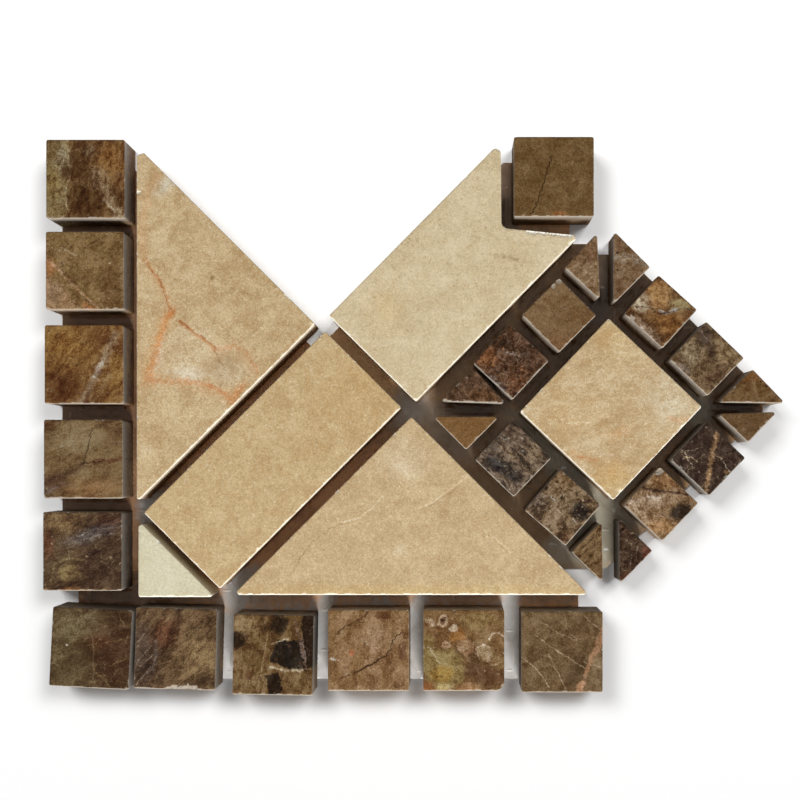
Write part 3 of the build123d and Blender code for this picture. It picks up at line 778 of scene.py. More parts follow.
        vein((70, 54, 42), (0.4, 2.2), (2.4, 0.0), (3.4, -1.6), wide=0.16, soft=0.6, strength=0.6),
        vein((168, 158, 146), (-3.4, 5.4), (-2.2, 4.8), (-1.1, 4.4), wide=0.18, strength=0.65),
        specks(BLACK, 0.8, 0.2, 0.6), specks(TAUPE, 0.6, 0.06, 0.6),
        patch(WHITE, (2.3, 1.8), (0.4, 0.3), soft=0.6, strength=0.8),
        cloud=2.6, mottle=1.0, streak=(-0.7, 1.5)),
    "ring_square_6": Stone(
        (62, 46, 32), (113, 91, 66), (146, 125, 101),
        patch(LILAC, (-6.0, 1.2), (2.0, 2.0), strength=0.4),
        patch((104, 76, 44), (0.9, 6.2), (3.0, 2.4)),
        patch((100, 66, 42), (0.6, -6.8), (2.4, 1.8), soft=0.8, strength=0.5),
        patch((34, 29, 26), (4.2, -1.0), (2.1, 2.2), soft=0.35, strength=0.92),
        patch(BLACK, (-4.0, 4.9), (0.5, 0.4), soft=0.5, strength=0.8),
        patch(BLACK, (0.0, 2.6), (0.5, 0.4), soft=0.5),
        vein(WHITE, (2.6, -2.8), (3.1, -3.4), wide=0.12, soft=0.6),
        vein(WHITE, (-2.8, 2.6), (-2.0, 1.8), soft=0.6, strength=0.7),
        specks(DARK, 0.9, 0.2, 0.6), specks(BEIGE, 0.6, 0.05, 0.6),
        cloud=3.0, mottle=1.0),
    "ring_square_7": Stone(
        (92, 66, 42), (130, 103, 74), (166, 141, 114),
        patch(BEIGE, (-6.0, 0.8), (2.6, 2.2), soft=0.8),
        patch((172, 148, 122), (-2.2, 0.8), (2.6, 1.4), soft=0.8),
        patch((148, 110, 72), (1.2, 5.8), (3.6, 1.9), soft=0.7, strength=0.65),
        patch((148, 108, 66), (-0.2, -5.4), (3.0, 1.7), soft=0.7, strength=0.7),
        patch((38, 28, 22), (4.9, -1.8), (2.7, 2.1), turn=35.0, soft=0.3, strength=0.92),
        vein((64, 44, 34), (-4.4, 4.0), (-1.8, 3.4), (3.3, 2.8), (7.4, 2.3), wide=0.3, soft=0.6,
             strength=0.95),
        vein((72, 50, 38), (-4.0, 3.8), (-1.4, 3.1), (1.6, 2.9), wide=0.3, soft=0.6, strength=0.8),
        vein((198, 180, 156), (-7.4, 0.2), (-4.2, 1.6), (0.0, 1.7), wide=0.4, strength=0.55),
        vein((96, 68, 46), (-4.6, -2.6), (-2.4, -2.0), (0.6, -2.6), wide=0.18, soft=0.8),
        specks(DARK, 0.9, 0.08, 0.5),
        cloud=3.0, chips=[(-0.6, 8.2, 1.3, 0.5)]),
    "ring_square_8": Stone(
        (40, 28, 22), (54, 40, 32), (80, 64, 54),
        vein((134, 102, 72), (2.4, 6.8), (0.9, 1.4), (0.3, -3.0), (-0.4, -7.4), wide=0.5, strength=0.8),
        vein((154, 122, 86), (1.9, 5.0), (0.9, 0.8), (0.4, -3.6), wide=0.22, strength=0.55),
        vein((134, 112, 88), (-6.6, 1.7), (-3.8, 2.0), (-1.5, 2.9), wide=0.1, soft=0.8, strength=0.6),
        vein((140, 120, 98), (-7.3, 3.4), (-5.5, 1.1), (-3.8, -1.9), wide=0.12, soft=0.8, strength=0.65),
        vein(BEIGE, (-5.6, 0.6), (-4.0, 0.4), (-2.6, -0.8), wide=0.1, soft=0.6),
        vein((140, 120, 98), (-4.2, -1.2), (-2.8, -0.4), (-1.0, 1.2), wide=0.08, soft=0.6, strength=0.45),
        vein((186, 166, 146), (3.6, -0.6), (4.3, -1.8), (5.2, -3.2), wide=0.1, soft=0.6, strength=0.65),
        vein(BEIGE, (1.7, 0.8), (3.4, 0.2), wide=0.1, soft=0.8, strength=0.55),
        patch((150, 118, 78), (4.2, -3.2), (0.4, 0.5), soft=0.5),
        hairlines((124, 104, 88), 2.0, 0.07, 0.45, 0.45), specks(TAUPE, 0.6, 0.03, 0.6),
        cloud=3.0),
}

CREAM_STONES = {
    "left_triangle": Stone(
        (182, 152, 110), (198, 172, 131), (212, 190, 151),
        patch((186, 157, 114), (8.0, 7.0), (6.0, 24.0), turn=38.0, strength=0.4),
        patch(CREAM_PALE, (-9.7, -5.7), (6.0, 5.4), turn=-15.0, strength=0.45),
        patch((226, 214, 190), (-8.5, -11.4), (3.8, 1.5)),
        patch((224, 200, 172), (-16.0, -7.0), (0.9, 3.4), turn=-15.0, strength=0.7),
        patch((198, 180, 152), (0.2, -10.4), (3.6, 3.2), strength=0.5),
        patch((208, 198, 174), (-14.2, 34.2), (3.8, 1.5), turn=40.0, soft=0.8, strength=0.7),
        vein((206, 158, 110), (-16.0, 36.2), (-18.6, 31.7), (-20.0, 23.0), (-19.8, 17.0), wide=1.0,
             soft=0.95, strength=0.4),
        vein(RUST, (-19.4, 16.0), (-16.2, 11.5), (-14.3, 7.7), (-13.0, 3.6), wide=0.34, strength=0.7),
        vein((206, 158, 110), (-18.3, 13.5), (-14.3, 7.7), (-13.3, 3.9), wide=1.2, soft=0.95, strength=0.3),
        patch(RUST, (-12.8, 3.3), (0.9, 1.1), soft=0.7, strength=0.8),
        vein((202, 134, 74), (-13.6, 2.6), (-15.0, -0.6), (-16.8, -6.0), (-18.2, -11.8), wide=0.8,
             strength=0.85),
        vein((208, 158, 106), (-14.6, 1.0), (-16.7, -4.3), (-18.8, -12.4), wide=1.7, soft=0.95,
             strength=0.45),
        vein((196, 134, 86), (-18.6, -12.9), (-13.3, -13.4), (-7.1, -13.4), (-3.7, -14.4), wide=0.55,
             strength=0.7),
        vein((210, 164, 120), (-18.6, -12.9), (-10.0, -13.4), (0.1, -16.3), wide=1.3, soft=0.95,
             strength=0.4),
        vein((196, 134, 86), (-3.7, -14.4), (0.1, -16.3), (1.6, -18.2), wide=0.6, strength=0.7),
        patch((204, 140, 88), (2.8, -16.0), (2.8, 1.0), turn=48.0, soft=0.7, strength=0.7),
        vein(RUST, (-10.9, 1.0), (-7.1, -1.9), (-4.7, -3.8), (-2.3, -5.7), wide=0.36, strength=0.75),
        vein((196, 140, 94), (-2.3, -5.7), (2.1, -4.8), (4.5, -6.0), (7.8, -11.0), wide=0.38, strength=0.65),
        vein((214, 174, 134), (-2.3, -5.7), (2.1, -4.8), (4.5, -6.4), (7.4, -11.4), wide=1.3, soft=0.95,
             strength=0.35),
        vein((150, 96, 60), (-19.5, 15.1), (-16.3, 12.1), (-15.1, 9.1), (-13.5, 4.3), soft=0.8,
             strength=0.7),
        vein((158, 100, 62), (-10.9, 1.1), (-8.5, -0.7), (-6.1, -2.3), (-2.3, -5.3), wide=0.16, soft=0.8,
             strength=0.7),
        vein((150, 112, 70), (-2.5, -5.9), (-1.7, -8.1), (-0.5, -9.5), wide=0.24, strength=0.65),
        vein((164, 134, 90), (1.1, 8.9), (3.4, 8.4), (6.0, 7.5), wide=0.3, soft=0.95, strength=0.45),
        patch((150, 120, 82), (-3.0, 11.5), (0.4, 0.5), soft=0.5, strength=0.8),
        specks(CREAM_DEEP, 0.7, 0.16, 0.45), specks(CREAM_PALE, 0.6, 0.12, 0.45),
        cream=True, cloud=6.0, clouds=0.6, mottle=0.6, grain=0.7, chips=[(-20.9, 32.2, 0.5, 0.3)]),
    "diagonal_bar": Stone(
        (186, 156, 111), (198, 171, 128), (208, 184, 142),
        patch((194, 160, 108), (22.0, 18.0), (12.0, 8.0), turn=45.0, strength=0.4),
        specks(CREAM_DEEP, 0.7, 0.16, 0.45), specks(CREAM_PALE, 0.6, 0.14, 0.5),
        cream=True, clouds=0.5, mottle=0.55, grain=0.7),
    "notched_slab": Stone(
        (200, 180, 142), (211, 193, 157), (219, 202, 168),
        patch((203, 176, 126), (-16.0, -8.0), (4.0, 5.0), strength=0.45),
        vein((168, 146, 112), (10.6, 4.8), (12.6, 4.2), (15.7, 3.6), wide=0.42, strength=0.7),
        vein((180, 156, 118), (-8.8, 8.8), (-7.8, 7.4), (-6.6, 6.1), wide=0.3, soft=0.95),
        vein((170, 146, 108), (-14.6, 2.2), (-13.4, 1.2), wide=0.2),
        vein((170, 146, 108), (-10.6, 8.6), (-9.8, 8.0), wide=0.2),
        specks(CREAM_DEEP, 0.7, 0.1, 0.4), specks((226, 212, 184), 0.6, 0.1, 0.4),
        cream=True, cloud=6.0, clouds=0.6, mottle=0.5, grain=0.6,
        chips=[(18.0 + 0.8 * i, 10.35 - 0.075 * i, 0.34 + 0.12 * (i % 3), 0.35) for i in range(14)]),
    "corner_triangle": Stone(
        (206, 196, 163), (213, 205, 175), (219, 213, 187),
        specks((196, 182, 144), 0.8, 0.03, 0.5),
        cream=True, cloud=6.0, clouds=0.5, mottle=0.3, chips=[(-3.6, 5.0, 0.9, 0.6), (-2.6, 4.2, 0.6, 0.4)]),
    "bottom_triangle": Stone(
        (186, 158, 118), (199, 173, 133), (210, 187, 148),
        patch((218, 200, 168), (-1.4, 11.2), (4.8, 4.4), strength=0.45),
        patch((206, 176, 118), (0.0, -20.4), (40.0, 1.4), strength=0.5),
        patch((222, 204, 172), (-1.0, 9.6), (2.4, 1.6), strength=0.45),
        # the darker lines that run just beside the pale crack lines are painted shadow along the cracks
        vein((172, 140, 98), (-7.2, 1.8), (-9.9, -1.1), (-12.6, -3.2), (-16.8, -4.4), wide=0.16, soft=0.8,
             strength=0.6),
        vein((224, 204, 168), (-6.9, 2.4), (-9.6, -0.6), (-12.3, -2.7), (-16.5, -3.9), wide=0.2, soft=0.8,
             strength=0.75),
        vein((166, 134, 92), (-16.5, -4.1), (-19.5, -5.3), (-23.7, -8.5), (-27.0, -12.9), wide=0.16,
             soft=0.8, strength=0.65),
        vein((166, 134, 92), (-27.0, -12.9), (-29.4, -17.1), (-31.2, -19.2), soft=0.8, strength=0.55),
        vein((174, 142, 100), (2.3, -0.7), (5.9, 0.8), (8.1, 2.5), (11.4, 4.7), soft=0.8, strength=0.55),
        vein((224, 204, 168), (2.1, -0.3), (5.7, 1.2), (7.8, 3.0), (13.5, 7.2), wide=0.18, soft=0.8,
             strength=0.7),
        vein((172, 140, 98), (16.8, -5.7), (20.4, -8.4), (23.7, -11.4), (32.1, -15.3), wide=0.12, soft=0.8,
             strength=0.55),
        vein((220, 200, 164), (17.0, -5.4), (20.6, -8.1), (23.9, -11.1), wide=0.16, soft=0.8),
        vein((168, 138, 96), (-6.4, 7.8), (-5.6, 8.8), wide=0.26, strength=0.6),
        patch((178, 150, 108), (8.1, -1.8), (1.0, 0.7), turn=30.0, soft=0.6),
        vein((170, 140, 98), (17.0, -7.0), (17.8, -8.0), wide=0.24),
        patch((220, 202, 168), (-2.7, -10.2), (1.4, 1.4), strength=0.5),
        hairlines(CREAM_PALE, 9.0, 0.2, 0.42, 0.4), specks(CREAM_DEEP, 0.7, 0.14, 0.4),
        specks(CREAM_PALE, 0.6, 0.12, 0.45),
        cream=True, cloud=6.0, clouds=0.5, mottle=0.55, grain=0.7),
    "centre_diamond": Stone(
        (182, 152, 110), (196, 170, 130), (211, 190, 154),
        patch((218, 204, 174), (14.4, 2.6), (5.6, 4.0), turn=-20.0, strength=0.65),
        patch((214, 192, 150), (2.4, 14.4), (4.4, 4.6), strength=0.45),
        patch((194, 160, 112), (-9.0, -0.6), (7.0, 5.4), strength=0.45),
        vein((206, 160, 112), (-9.4, -10.6), (-6.6, -11.4), (-3.6, -12.2), wide=0.8, soft=0.95),
        vein((184, 122, 78), (-8.2, -11.2), (-6.2, -11.5), (-3.8, -12.2), wide=0.22, strength=0.7),
        patch((208, 168, 122), (1.8, -5.8), (2.6, 1.3), turn=20.0, strength=0.55),
        vein((208, 160, 114), (13.9, -2.0), (16.0, -2.6), (18.2, -2.4), wide=0.5, strength=0.6),
        patch((210, 170, 116), (0.6, -14.8), (3.6, 2.2), strength=0.5),
        vein((222, 202, 160), (-10.6, -3.2), (-7.0, -3.3), (-3.8, -3.4), strength=0.6),
        vein((226, 208, 172), (0.6, 2.6), (3.6, 2.4), (6.0, 2.8), wide=0.12),
        vein((226, 208, 172), (2.8, 7.2), (4.6, 7.0), (6.4, 7.4), wide=0.12),
        patch((204, 172, 112), (0.0, -17.6), (4.0, 3.0), strength=0.45),
        patch((202, 170, 116), (0.0, 17.6), (3.4, 3.0), strength=0.4),
        specks(CREAM_DEEP, 0.7, 0.16, 0.4), specks(CREAM_PALE, 0.6, 0.14, 0.5),
        cream=True, clouds=0.55, grain=0.7, streak=(0.1, 1.5)),
}

STONES = {**BROWN_STONES, **CREAM_STONES}

# Where the glue is not brown but darker, greyer, greener or whiter, and where light and glints are painted on
# it, in millimetres of the frame
GLUE_MARKS = [
    patch((176, 142, 104), (44.0, 2.0), (52.0, 45.0), soft=0.15, strength=0.92),
    patch(DARK_GLUE, (-78.0, 18.0), (21.0, 68.0), soft=0.2, strength=0.8),
    patch(DARK_GLUE, (54.0, 12.0), (36.0, 26.0), soft=0.4, strength=0.7),
    patch(DARK_GLUE, (-70.0, -44.5), (16.0, 3.6), soft=0.4, strength=0.8),
    patch((196, 158, 126), (-10.0, -44.5), (46.0, 3.6), soft=0.3, strength=0.9),
    patch((132, 116, 100), (22.4, 54.0), (4.0, 16.0), soft=0.4, strength=0.85),
    patch((96, 82, 70), (46.1, 33.0), (4.0, 10.0), soft=0.4, strength=0.8),
    patch((92, 64, 46), (13.7, 2.0), (8.0, 3.0), soft=0.5, strength=0.8),
    patch((92, 64, 46), (76.0, 1.8), (9.0, 3.0), soft=0.5, strength=0.8),
    patch(GREY_GLUE, (-10.0, -60.0), (75.0, 13.6), soft=0.12, strength=0.97),
    patch(GREY_GLUE, (-44.6, -46.5), (3.0, 6.0), soft=0.5, strength=0.8),
    patch(GREY_GLUE, (-21.4, -46.5), (2.4, 4.0), soft=0.5, strength=0.9),
    patch(GREY_GLUE, (1.2, -46.5), (2.4, 4.0), soft=0.5, strength=0.9),
    patch(GREY_GLUE, (23.8, -46.5), (2.6, 4.4), soft=0.5, strength=0.95),
    patch(GREEN_GLUE, (46.3, -27.0), (9.0, 16.0), soft=0.5, strength=0.9),
    patch(GREEN_GLUE, (35.3, -10.9), (14.0, 3.4), turn=-45.0, soft=0.5, strength=0.75),
    patch(GREEN_GLUE, (70.0, 2.2), (4.0, 5.0), soft=0.6, strength=0.7),
    patch(GREY_GLUE, (-43.0, -40.6), (5.0, 5.0), soft=0.6, strength=0.95),
    patch(GREY_GLUE, (-65.2, -22.8), (3.2, 4.4), soft=0.6, strength=0.85),
    # painted light: the joint between the bar and the slab, lit from the open bay beside it
    patch((244, 204, 152), (-12.2, 12.8), (14.0, 5.0), turn=-45.0, soft=0.6, strength=0.8),
    patch(GREY_GLUE, (-1.2, 2.4), (5.0, 4.0), soft=0.8, strength=0.85),
    patch((206, 190, 172), (7.6, -3.4), (8.0, 3.6), turn=-45.0, soft=0.7, strength=0.75),
    patch((200, 192, 174), (36.5, -33.0), (4.0, 4.0), soft=0.7, strength=0.7),
    # small painted glints on the glue
    *[patch(PAINTED_GLUE_GLINT, spot, (0.55, 0.4), soft=0.5, strength=0.8)
      for spot in ((50.4, -22.5), (45.6, -26.6), (47.4, -33.0), (34.5, -31.6), (37.0, -12.2))],
]
BROWN_GLUE = tone(232, 174, 124)
YARN = tone(214, 204, 190)


# Finishes

def new_finish(name):
    """A new material; gives it, its node tree and its shader."""
    material = bpy.data.materials.new(name)
    material.use_nodes = True
    return material, material.node_tree, material.node_tree.nodes["Principled BSDF"]


def spot_on(tree):
    """The place on the piece, in millimetres."""
    return scaled(tree, add(tree, "TexCoord", {}).outputs["Object"], 1 / MM)


def marked(tree, colour, marks, spots):
    """The colour with the marks laid over it one after the other."""
    for mark_colour, strength, mask in marks:
        colour = mixed(tree, times(tree, mask(tree, spots), strength), colour, mark_colour)
    return colour


def add_relief(tree, shader, height, strength, depth):
    """Relief too fine for the mesh, of a depth in millimetres."""
    bump = add(tree, "Bump", {"Strength": strength, "Distance": depth * MM, "Height": height})
    feed(tree, shader.inputs["Normal"], bump.outputs[0])


def clouded(tree, spot, deep, light, cloud, clouds, mottle, grain, streak=(0.0, 1.0)):
    """The shading of a bed from deep to light, with streaks that have a turn and a length."""
    turn, length = streak
    return place(tree, CLOUDED_BED, Position=spot, Deep=deep, Light=light, Cloud_Size=cloud, Clouds=clouds,
                 Mottle=mottle, Grain=grain, Streak_Turn=turn, Streak_Length=length)["Shade"]


def shade_of(part, body):
    """What the body colour is multiplied with to give another colour."""
    return tuple(p / b for p, b in zip(part, body))


def honed_marble(node, stone, seed):
    """One stone's finish: bed and markings on the face, dust with painted light and painted shade on the sawn
    sides, pale bruised arrises with painted highlights on the lower edges.
    """
    material, tree, shader = new_finish(node + "_marble")
    marble = stone.marble
    seeded = vectors(tree, "ADD", spot_on(tree), (0.0, 0.0, seed * BED_STEP))
    spots = {"coarse": place(tree, WANDER, Position=seeded, Reach=0.55, Size=2.6)["Position"],
             "fine": place(tree, WANDER, Position=seeded, Reach=0.32, Size=1.2)["Position"],
             "ragged": noisy(tree, seeded, 0.9, 5.0, 0.72)[1]}
    deep, body, light = stone.bed
    shade = clouded(tree, seeded, shade_of(deep, body), shade_of(light, body),
                    stone.cloud, stone.clouds, stone.mottle, stone.grain, stone.streak)
    crystals = place(tree, CRYSTAL_GRAIN, Position=seeded, Size=marble.crystal_size, Depth=marble.sparkle)
    faces = place(tree, WORKED_FACES, Position=seeded)
    colour = marked(tree, body, (*stone.marks, *marble.web), spots)
    for share, shading in ((1.0, shade), (1.0, crystals["Shade"]), (faces["Sawn And Shade"], marble.sawn_and_shade)):
        colour = mixed(tree, share, colour, shading, "MULTIPLY")
    for mask, cover, layer in ((faces["Dust And Light"], DUST_AND_LIGHT_COVER, marble.dust_and_light),
                               (faces["Bruise And Highlight"], marble.arris_cover, marble.arris),
                               (faces["Crack"], CRACK_COVER, tone(*DARK))):
        colour = mixed(tree, times(tree, mask, cover), colour, layer)
    feed(tree, shader.inputs["Base Color"], colour)
    shader.inputs["Specular IOR Level"].default_value = MARBLE_SHINE
    rough = between(tree, crystals["Height"], 0.4, 1.1, 0.36, 0.5, "LINEAR")
    rough = plus(tree, rough, times(tree, faces["Sawn And Shade"], 0.4))
    feed(tree, shader.inputs["Roughness"], rough)
    saw_lines = times(tree, faces["Saw Lines"], times(tree, faces["Sawn And Shade"], 3.0))
    height = plus(tree, saw_lines, times(tree, crystals["Height"], 0.4))
    add_relief(tree, shader, height, 0.35, 0.04)
    return material


def glue_colour(tree, spot):
    """The glue's colour: brown where the stones' dust was stirred in, others in other joints, and painted
    light and glints in places.
    """
    spots = {"coarse": place(tree, WANDER, Position=spot, Reach=1.2, Size=6.0)["Position"],
             "ragged": noisy(tree, spot, 2.0, 4.0, 0.6)[1]}
    return marked(tree, BROWN_GLUE, GLUE_MARKS, spots)


def clear_glue():
    """Set glue with the net's white showing through it more or less."""
    material, tree, shader = new_finish("clear_glue")
    spot = spot_on(tree)
    shade = clouded(tree, spot, (0.76, 0.73, 0.7, 1.0), (1.15, 1.18, 1.22, 1.0),
                    cloud=7.0, clouds=0.6, mottle=0.15, grain=0.05)
    feed(tree, shader.inputs["Base Color"], mixed(tree, 1.0, glue_colour(tree, spot), shade, "MULTIPLY"))
    shader.inputs["Roughness"].default_value = GLUE_ROUGHNESS
    shader.inputs["Specular IOR Level"].default_value = GLUE_SHINE
    lumps = noisy(tree, spot, 1.4, 3.0, 0.5)[0]
    add_relief(tree, shader, lumps, 0.25, 0.2)
    return material


def net_yarn():
    """White glass-fibre yarn, browned by glue and dust."""
    material, tree, shader = new_finish("net_yarn")
    spot = spot_on(tree)
    shade = clouded(tree, spot, (0.84, 0.83, 0.82, 1.0), (1.15, 1.16, 1.18, 1.0),
                    cloud=6.0, clouds=0.9, mottle=0.5, grain=0.3)
    soaked = mixed(tree, YARN_SHOWING, glue_colour(tree, spot), YARN)
    feed(tree, shader.inputs["Base Color"], mixed(tree, 1.0, soaked, shade, "MULTIPLY"))
    shader.inputs["Roughness"].default_value = YARN_ROUGHNESS
    shader.inputs["Specular IOR Level"].default_value = YARN_SHINE
    fibres = noisy(tree, spot, 0.2, 2.0, 0.6)[0]
    add_relief(tree, shader, fibres, 0.4, 0.06)
    return material


# Shapes

def foot_outline(node):
    """The outline of a node's underside, anticlockwise from above, in millimetres of the frame."""
    mesh = bmesh.new()
    mesh.from_mesh(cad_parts[node].data)
    bmesh.ops.remove_doubles(mesh, verts=mesh.verts, dist=1e-7)
    lowest = min(v.co.z for v in mesh.verts)
    foot = {f for f in mesh.faces if max(v.co.z for v in f.verts) < lowest + 1e-6}
    border = [e for e in mesh.edges if sum(f in foot for f in e.link_faces) == 1]
    follows = {}
    for edge in border:
        for here, there in (edge.verts, reversed(edge.verts)):
            follows.setdefault(here, []).append(there)
    start = border[0].verts[0]
    loop = [start, follows[start][0]]
    while loop[-1] is not start:
        before, here = loop[-2:]
        loop.append(next(v for v in follows[here] if v is not before))
    points = np.array([v.co.xy for v in loop[:-1]]) / MM
    mesh.free()
    after = np.roll(points, -1, axis=0)
    area = np.sum(points[:, 0] * after[:, 1] - after[:, 0] * points[:, 1])
    return points if area > 0 else points[::-1]


def divided(outline, step):
    """The outline with points about one step apart, its own corners kept."""
    points = []
    for here, there in zip(outline, np.roll(outline, -1, axis=0)):
        count = max(1, math.ceil(np.linalg.norm(there - here) / step))
        points.extend(here + (there - here) * i / count for i in range(count))
    return np.array(points)


def outward(points):
    """The outward direction at each point of an anticlockwise loop."""
    run = np.roll(points, -1, axis=0) - np.roll(points, 1, axis=0)
    side = np.stack([run[:, 1], -run[:, 0]], axis=1)
    return side / np.linalg.norm(side, axis=1)[:, None]


def nearest(points, loop):
    """For each point, how far it is from the loop, and which stretch of the loop is nearest."""
    runs = np.roll(loop, -1, axis=0) - loop
    best = np.full(len(points), np.inf)
    which = np.zeros(len(points), int)
    for i, (start, run, length) in enumerate(zip(loop, runs, (runs ** 2).sum(1))):
        away = points - start
        share = np.clip(away @ run / length, 0, 1)
        off = np.linalg.norm(away - share[:, None] * run, axis=1)
        closer = off < best
        best[closer] = off[closer]
        which[closer] = i
    return best, which


def inside(points, loop):
    """Whether each point lies inside the loop."""
    crossings = np.zeros(len(points), int)
    for (x1, y1), (x2, y2) in zip(loop, np.roll(loop, -1, axis=0)):
        if y1 == y2:
            continue
        spans = (points[:, 1] > min(y1, y2)) & (points[:, 1] <= max(y1, y2))
        reach = x1 + (points[:, 1] - y1) / (y2 - y1) * (x2 - x1)
        crossings += spans & (points[:, 0] < reach)
    return crossings % 2 == 1


def off_path(points, path):
    """How far each point is from the nearest point of the path."""
    return np.min(np.linalg.norm(points[:, None] - path[None], axis=2), axis=1)


def off_spot(points, x, y):
    return np.linalg.norm(points - (x, y), axis=1)


def grid(low, high, step):
    """Points in staggered rows over a box."""
    rows = []
    row_step = step * math.sqrt(0.75)
    for i in range(int((high[1] - low[1]) / row_step) + 1):
        x = np.arange(low[0] + (i % 2) * step / 2, high[0], step)
        rows.append(np.stack([x, np.full(len(x), low[1] + i * row_step)], axis=1))
    return np.concatenate(rows)


def ring_edges(count, first=0):
    """The edges of a closed ring of points."""
    return [(first + i, first + (i + 1) % count) for i in range(count)]


def strayed_path(points, seed, step=0.22, stray=0.24):
    """A crack's path: straight runs between the points, with a jagged wander."""
    path = []
    for here, there in zip(points, points[1:]):
        here, there = Vector(here), Vector(there)
        count = max(2, round((there - here).length / step))
        path.extend(here.lerp(there, i / count) for i in range(count))
    path.append(Vector(points[-1]))
    shifts = [Vector(noise.noise_vector((p.x * 1.6, p.y * 1.6, seed))[:2]) * stray * 2 for p in path]
    return np.array([p + shift for p, shift in zip(path, shifts)])


def random_chips(node, rim, stone):
    """Small chips strewn along the edges, larger ones on the lower edges."""
    draw = random.Random(node)
    normals = outward(rim)
    count = round(len(rim) * RIM_STEP / CHIP_SPACING * stone.wear)
    for _ in range(count):
        i = draw.randrange(len(rim))
        size = draw.uniform(0.25, 0.5) * (1.4 if normals[i][1] < -0.3 else 1.0)
        yield (*rim[i], size, size * draw.uniform(0.3, 0.6))


def rim_wear(rim, stone, seed):
    """How wide the arris is worn at each point of the rim."""
    facing_low = np.clip(-outward(rim)[:, 1], 0, 1)
    rough = np.array([noise.fractal((x * 0.5, y * 0.5, seed), 0.7, 2.0, 4) for x, y in rim])
    width = WEAR * stone.wear * stone.marble.arris_width
    return width * np.clip(1 + 0.6 * rough, 0.45, 1.9) * (1 + LOW_EDGE_WEAR * facing_low)


def face_points(stone, outline, rim, paths):
    """The points of the face: rows along the edges, an even field, and close ones at cracks and pits."""
    normals = outward(rim)
    inner = []
    for row in EDGE_ROWS:
        points = rim - normals * row
        points = points[inside(points, outline)]
        inner.append(points[nearest(points, outline)[0] > row * 0.8])
    step = stone.marble.grid
    field = grid(outline.min(0), outline.max(0), step)
    field = field[inside(field, outline)]
    inner.append(field[nearest(field, outline)[0] > EDGE_ROWS[-1] + step * 0.6])
    inner = np.concatenate(inner)
    for path in paths:
        inner = inner[off_path(inner, path) > CRACK_WIDTH * 0.8]
        run = np.gradient(path, axis=0)
        across = np.stack([-run[:, 1], run[:, 0]], axis=1) / np.linalg.norm(run, axis=1)[:, None]
        lip = across * CRACK_WIDTH / 2
        inner = np.concatenate([inner, path, path + lip, path - lip])
    turns = np.linspace(0, math.tau, PIT_CORNERS, endpoint=False)
    circle = np.stack([np.cos(turns), np.sin(turns)], axis=1)
    for x, y, radius, _ in stone.pits:
        inner = inner[off_spot(inner, x, y) > radius * 1.15]
        inner = np.concatenate([inner, [(x, y)], *[circle * radius * share + (x, y) for share in PIT_RINGS]])
    inner = inner[inside(inner, outline)]
    return inner[nearest(inner, outline)[0] > EDGE_ROWS[0] * 0.7]


def worn_face(node, stone, seed, rim, points, paths):
    """How far each point of the face drops, how bruised it is, with a painted highlight on lower edges, and
    how cracked.
    """
    off, stretch = nearest(points, rim)
    width = rim_wear(rim, stone, seed)[stretch]
    drop = width * ARRIS_FALL * np.clip(1 - off / width, 0, 1)
    facing_low = np.clip(-outward(rim)[stretch][:, 1], 0, 1)
    # edges facing the lower side are painted paler: a painted highlight on top of the bruise
    bruise_and_highlight = np.clip(drop / PALE_DROP, 0, 1) * (0.1 + 0.9 * facing_low ** 0.6)
    for chip in (*stone.chips, *random_chips(node, rim, stone)):
        x, y, radius, depth = chip
        away = off_spot(points, x, y)
        near = away < radius * CHIP_REACH
        ragged = np.array([noise.noise((px * 2.2, py * 2.2, seed)) for px, py in points[near]])
        scoop = depth * np.clip(1.0 + 0.5 * ragged - (away[near] / radius) ** 1.5, 0, 1)
        pale = np.clip(scoop / PALE_DROP, 0, 1) * (1.0 if chip in stone.chips else SMALL_CHIP_PALENESS)
        drop[near] = np.maximum(drop[near], scoop)
        bruise_and_highlight[near] = np.maximum(bruise_and_highlight[near], pale)
    crack = np.zeros(len(points))
    for path in paths:
        crack = np.maximum(crack, np.clip(1 - off_path(points, path) / (CRACK_WIDTH / 2), 0, 1))
    drop = drop + crack * CRACK_DEPTH
    for x, y, radius, depth in stone.pits:
        bowl = np.clip(1 - (off_spot(points, x, y) / radius) ** 2, 0, 1)
        drop = drop + depth * np.sqrt(bowl)
        crack = np.maximum(crack, np.clip(bowl * 1.4, 0, 1))
    return drop, bruise_and_highlight, crack


def side_looks(stone, normals):
    """How much pale dust and painted light each side gets by the way it faces, how much of it reaches the
    foot, and how much the saw's colour and its painted shade show.
    """
    aside, up = np.abs(normals[:, 0]), normals[:, 1]
    side_dust_and_light = np.clip(0.45 + 0.55 * aside - 0.45 * up, 0.55, 1.0)
    even = np.clip(stone.marble.low_dust_and_light + 0.4 * up, 0.04, 0.55)
    shaded = np.clip(stone.marble.saw_shade - stone.marble.saw_shade_turn * up, 0.05, 1.0)
    return side_dust_and_light, even, shaded


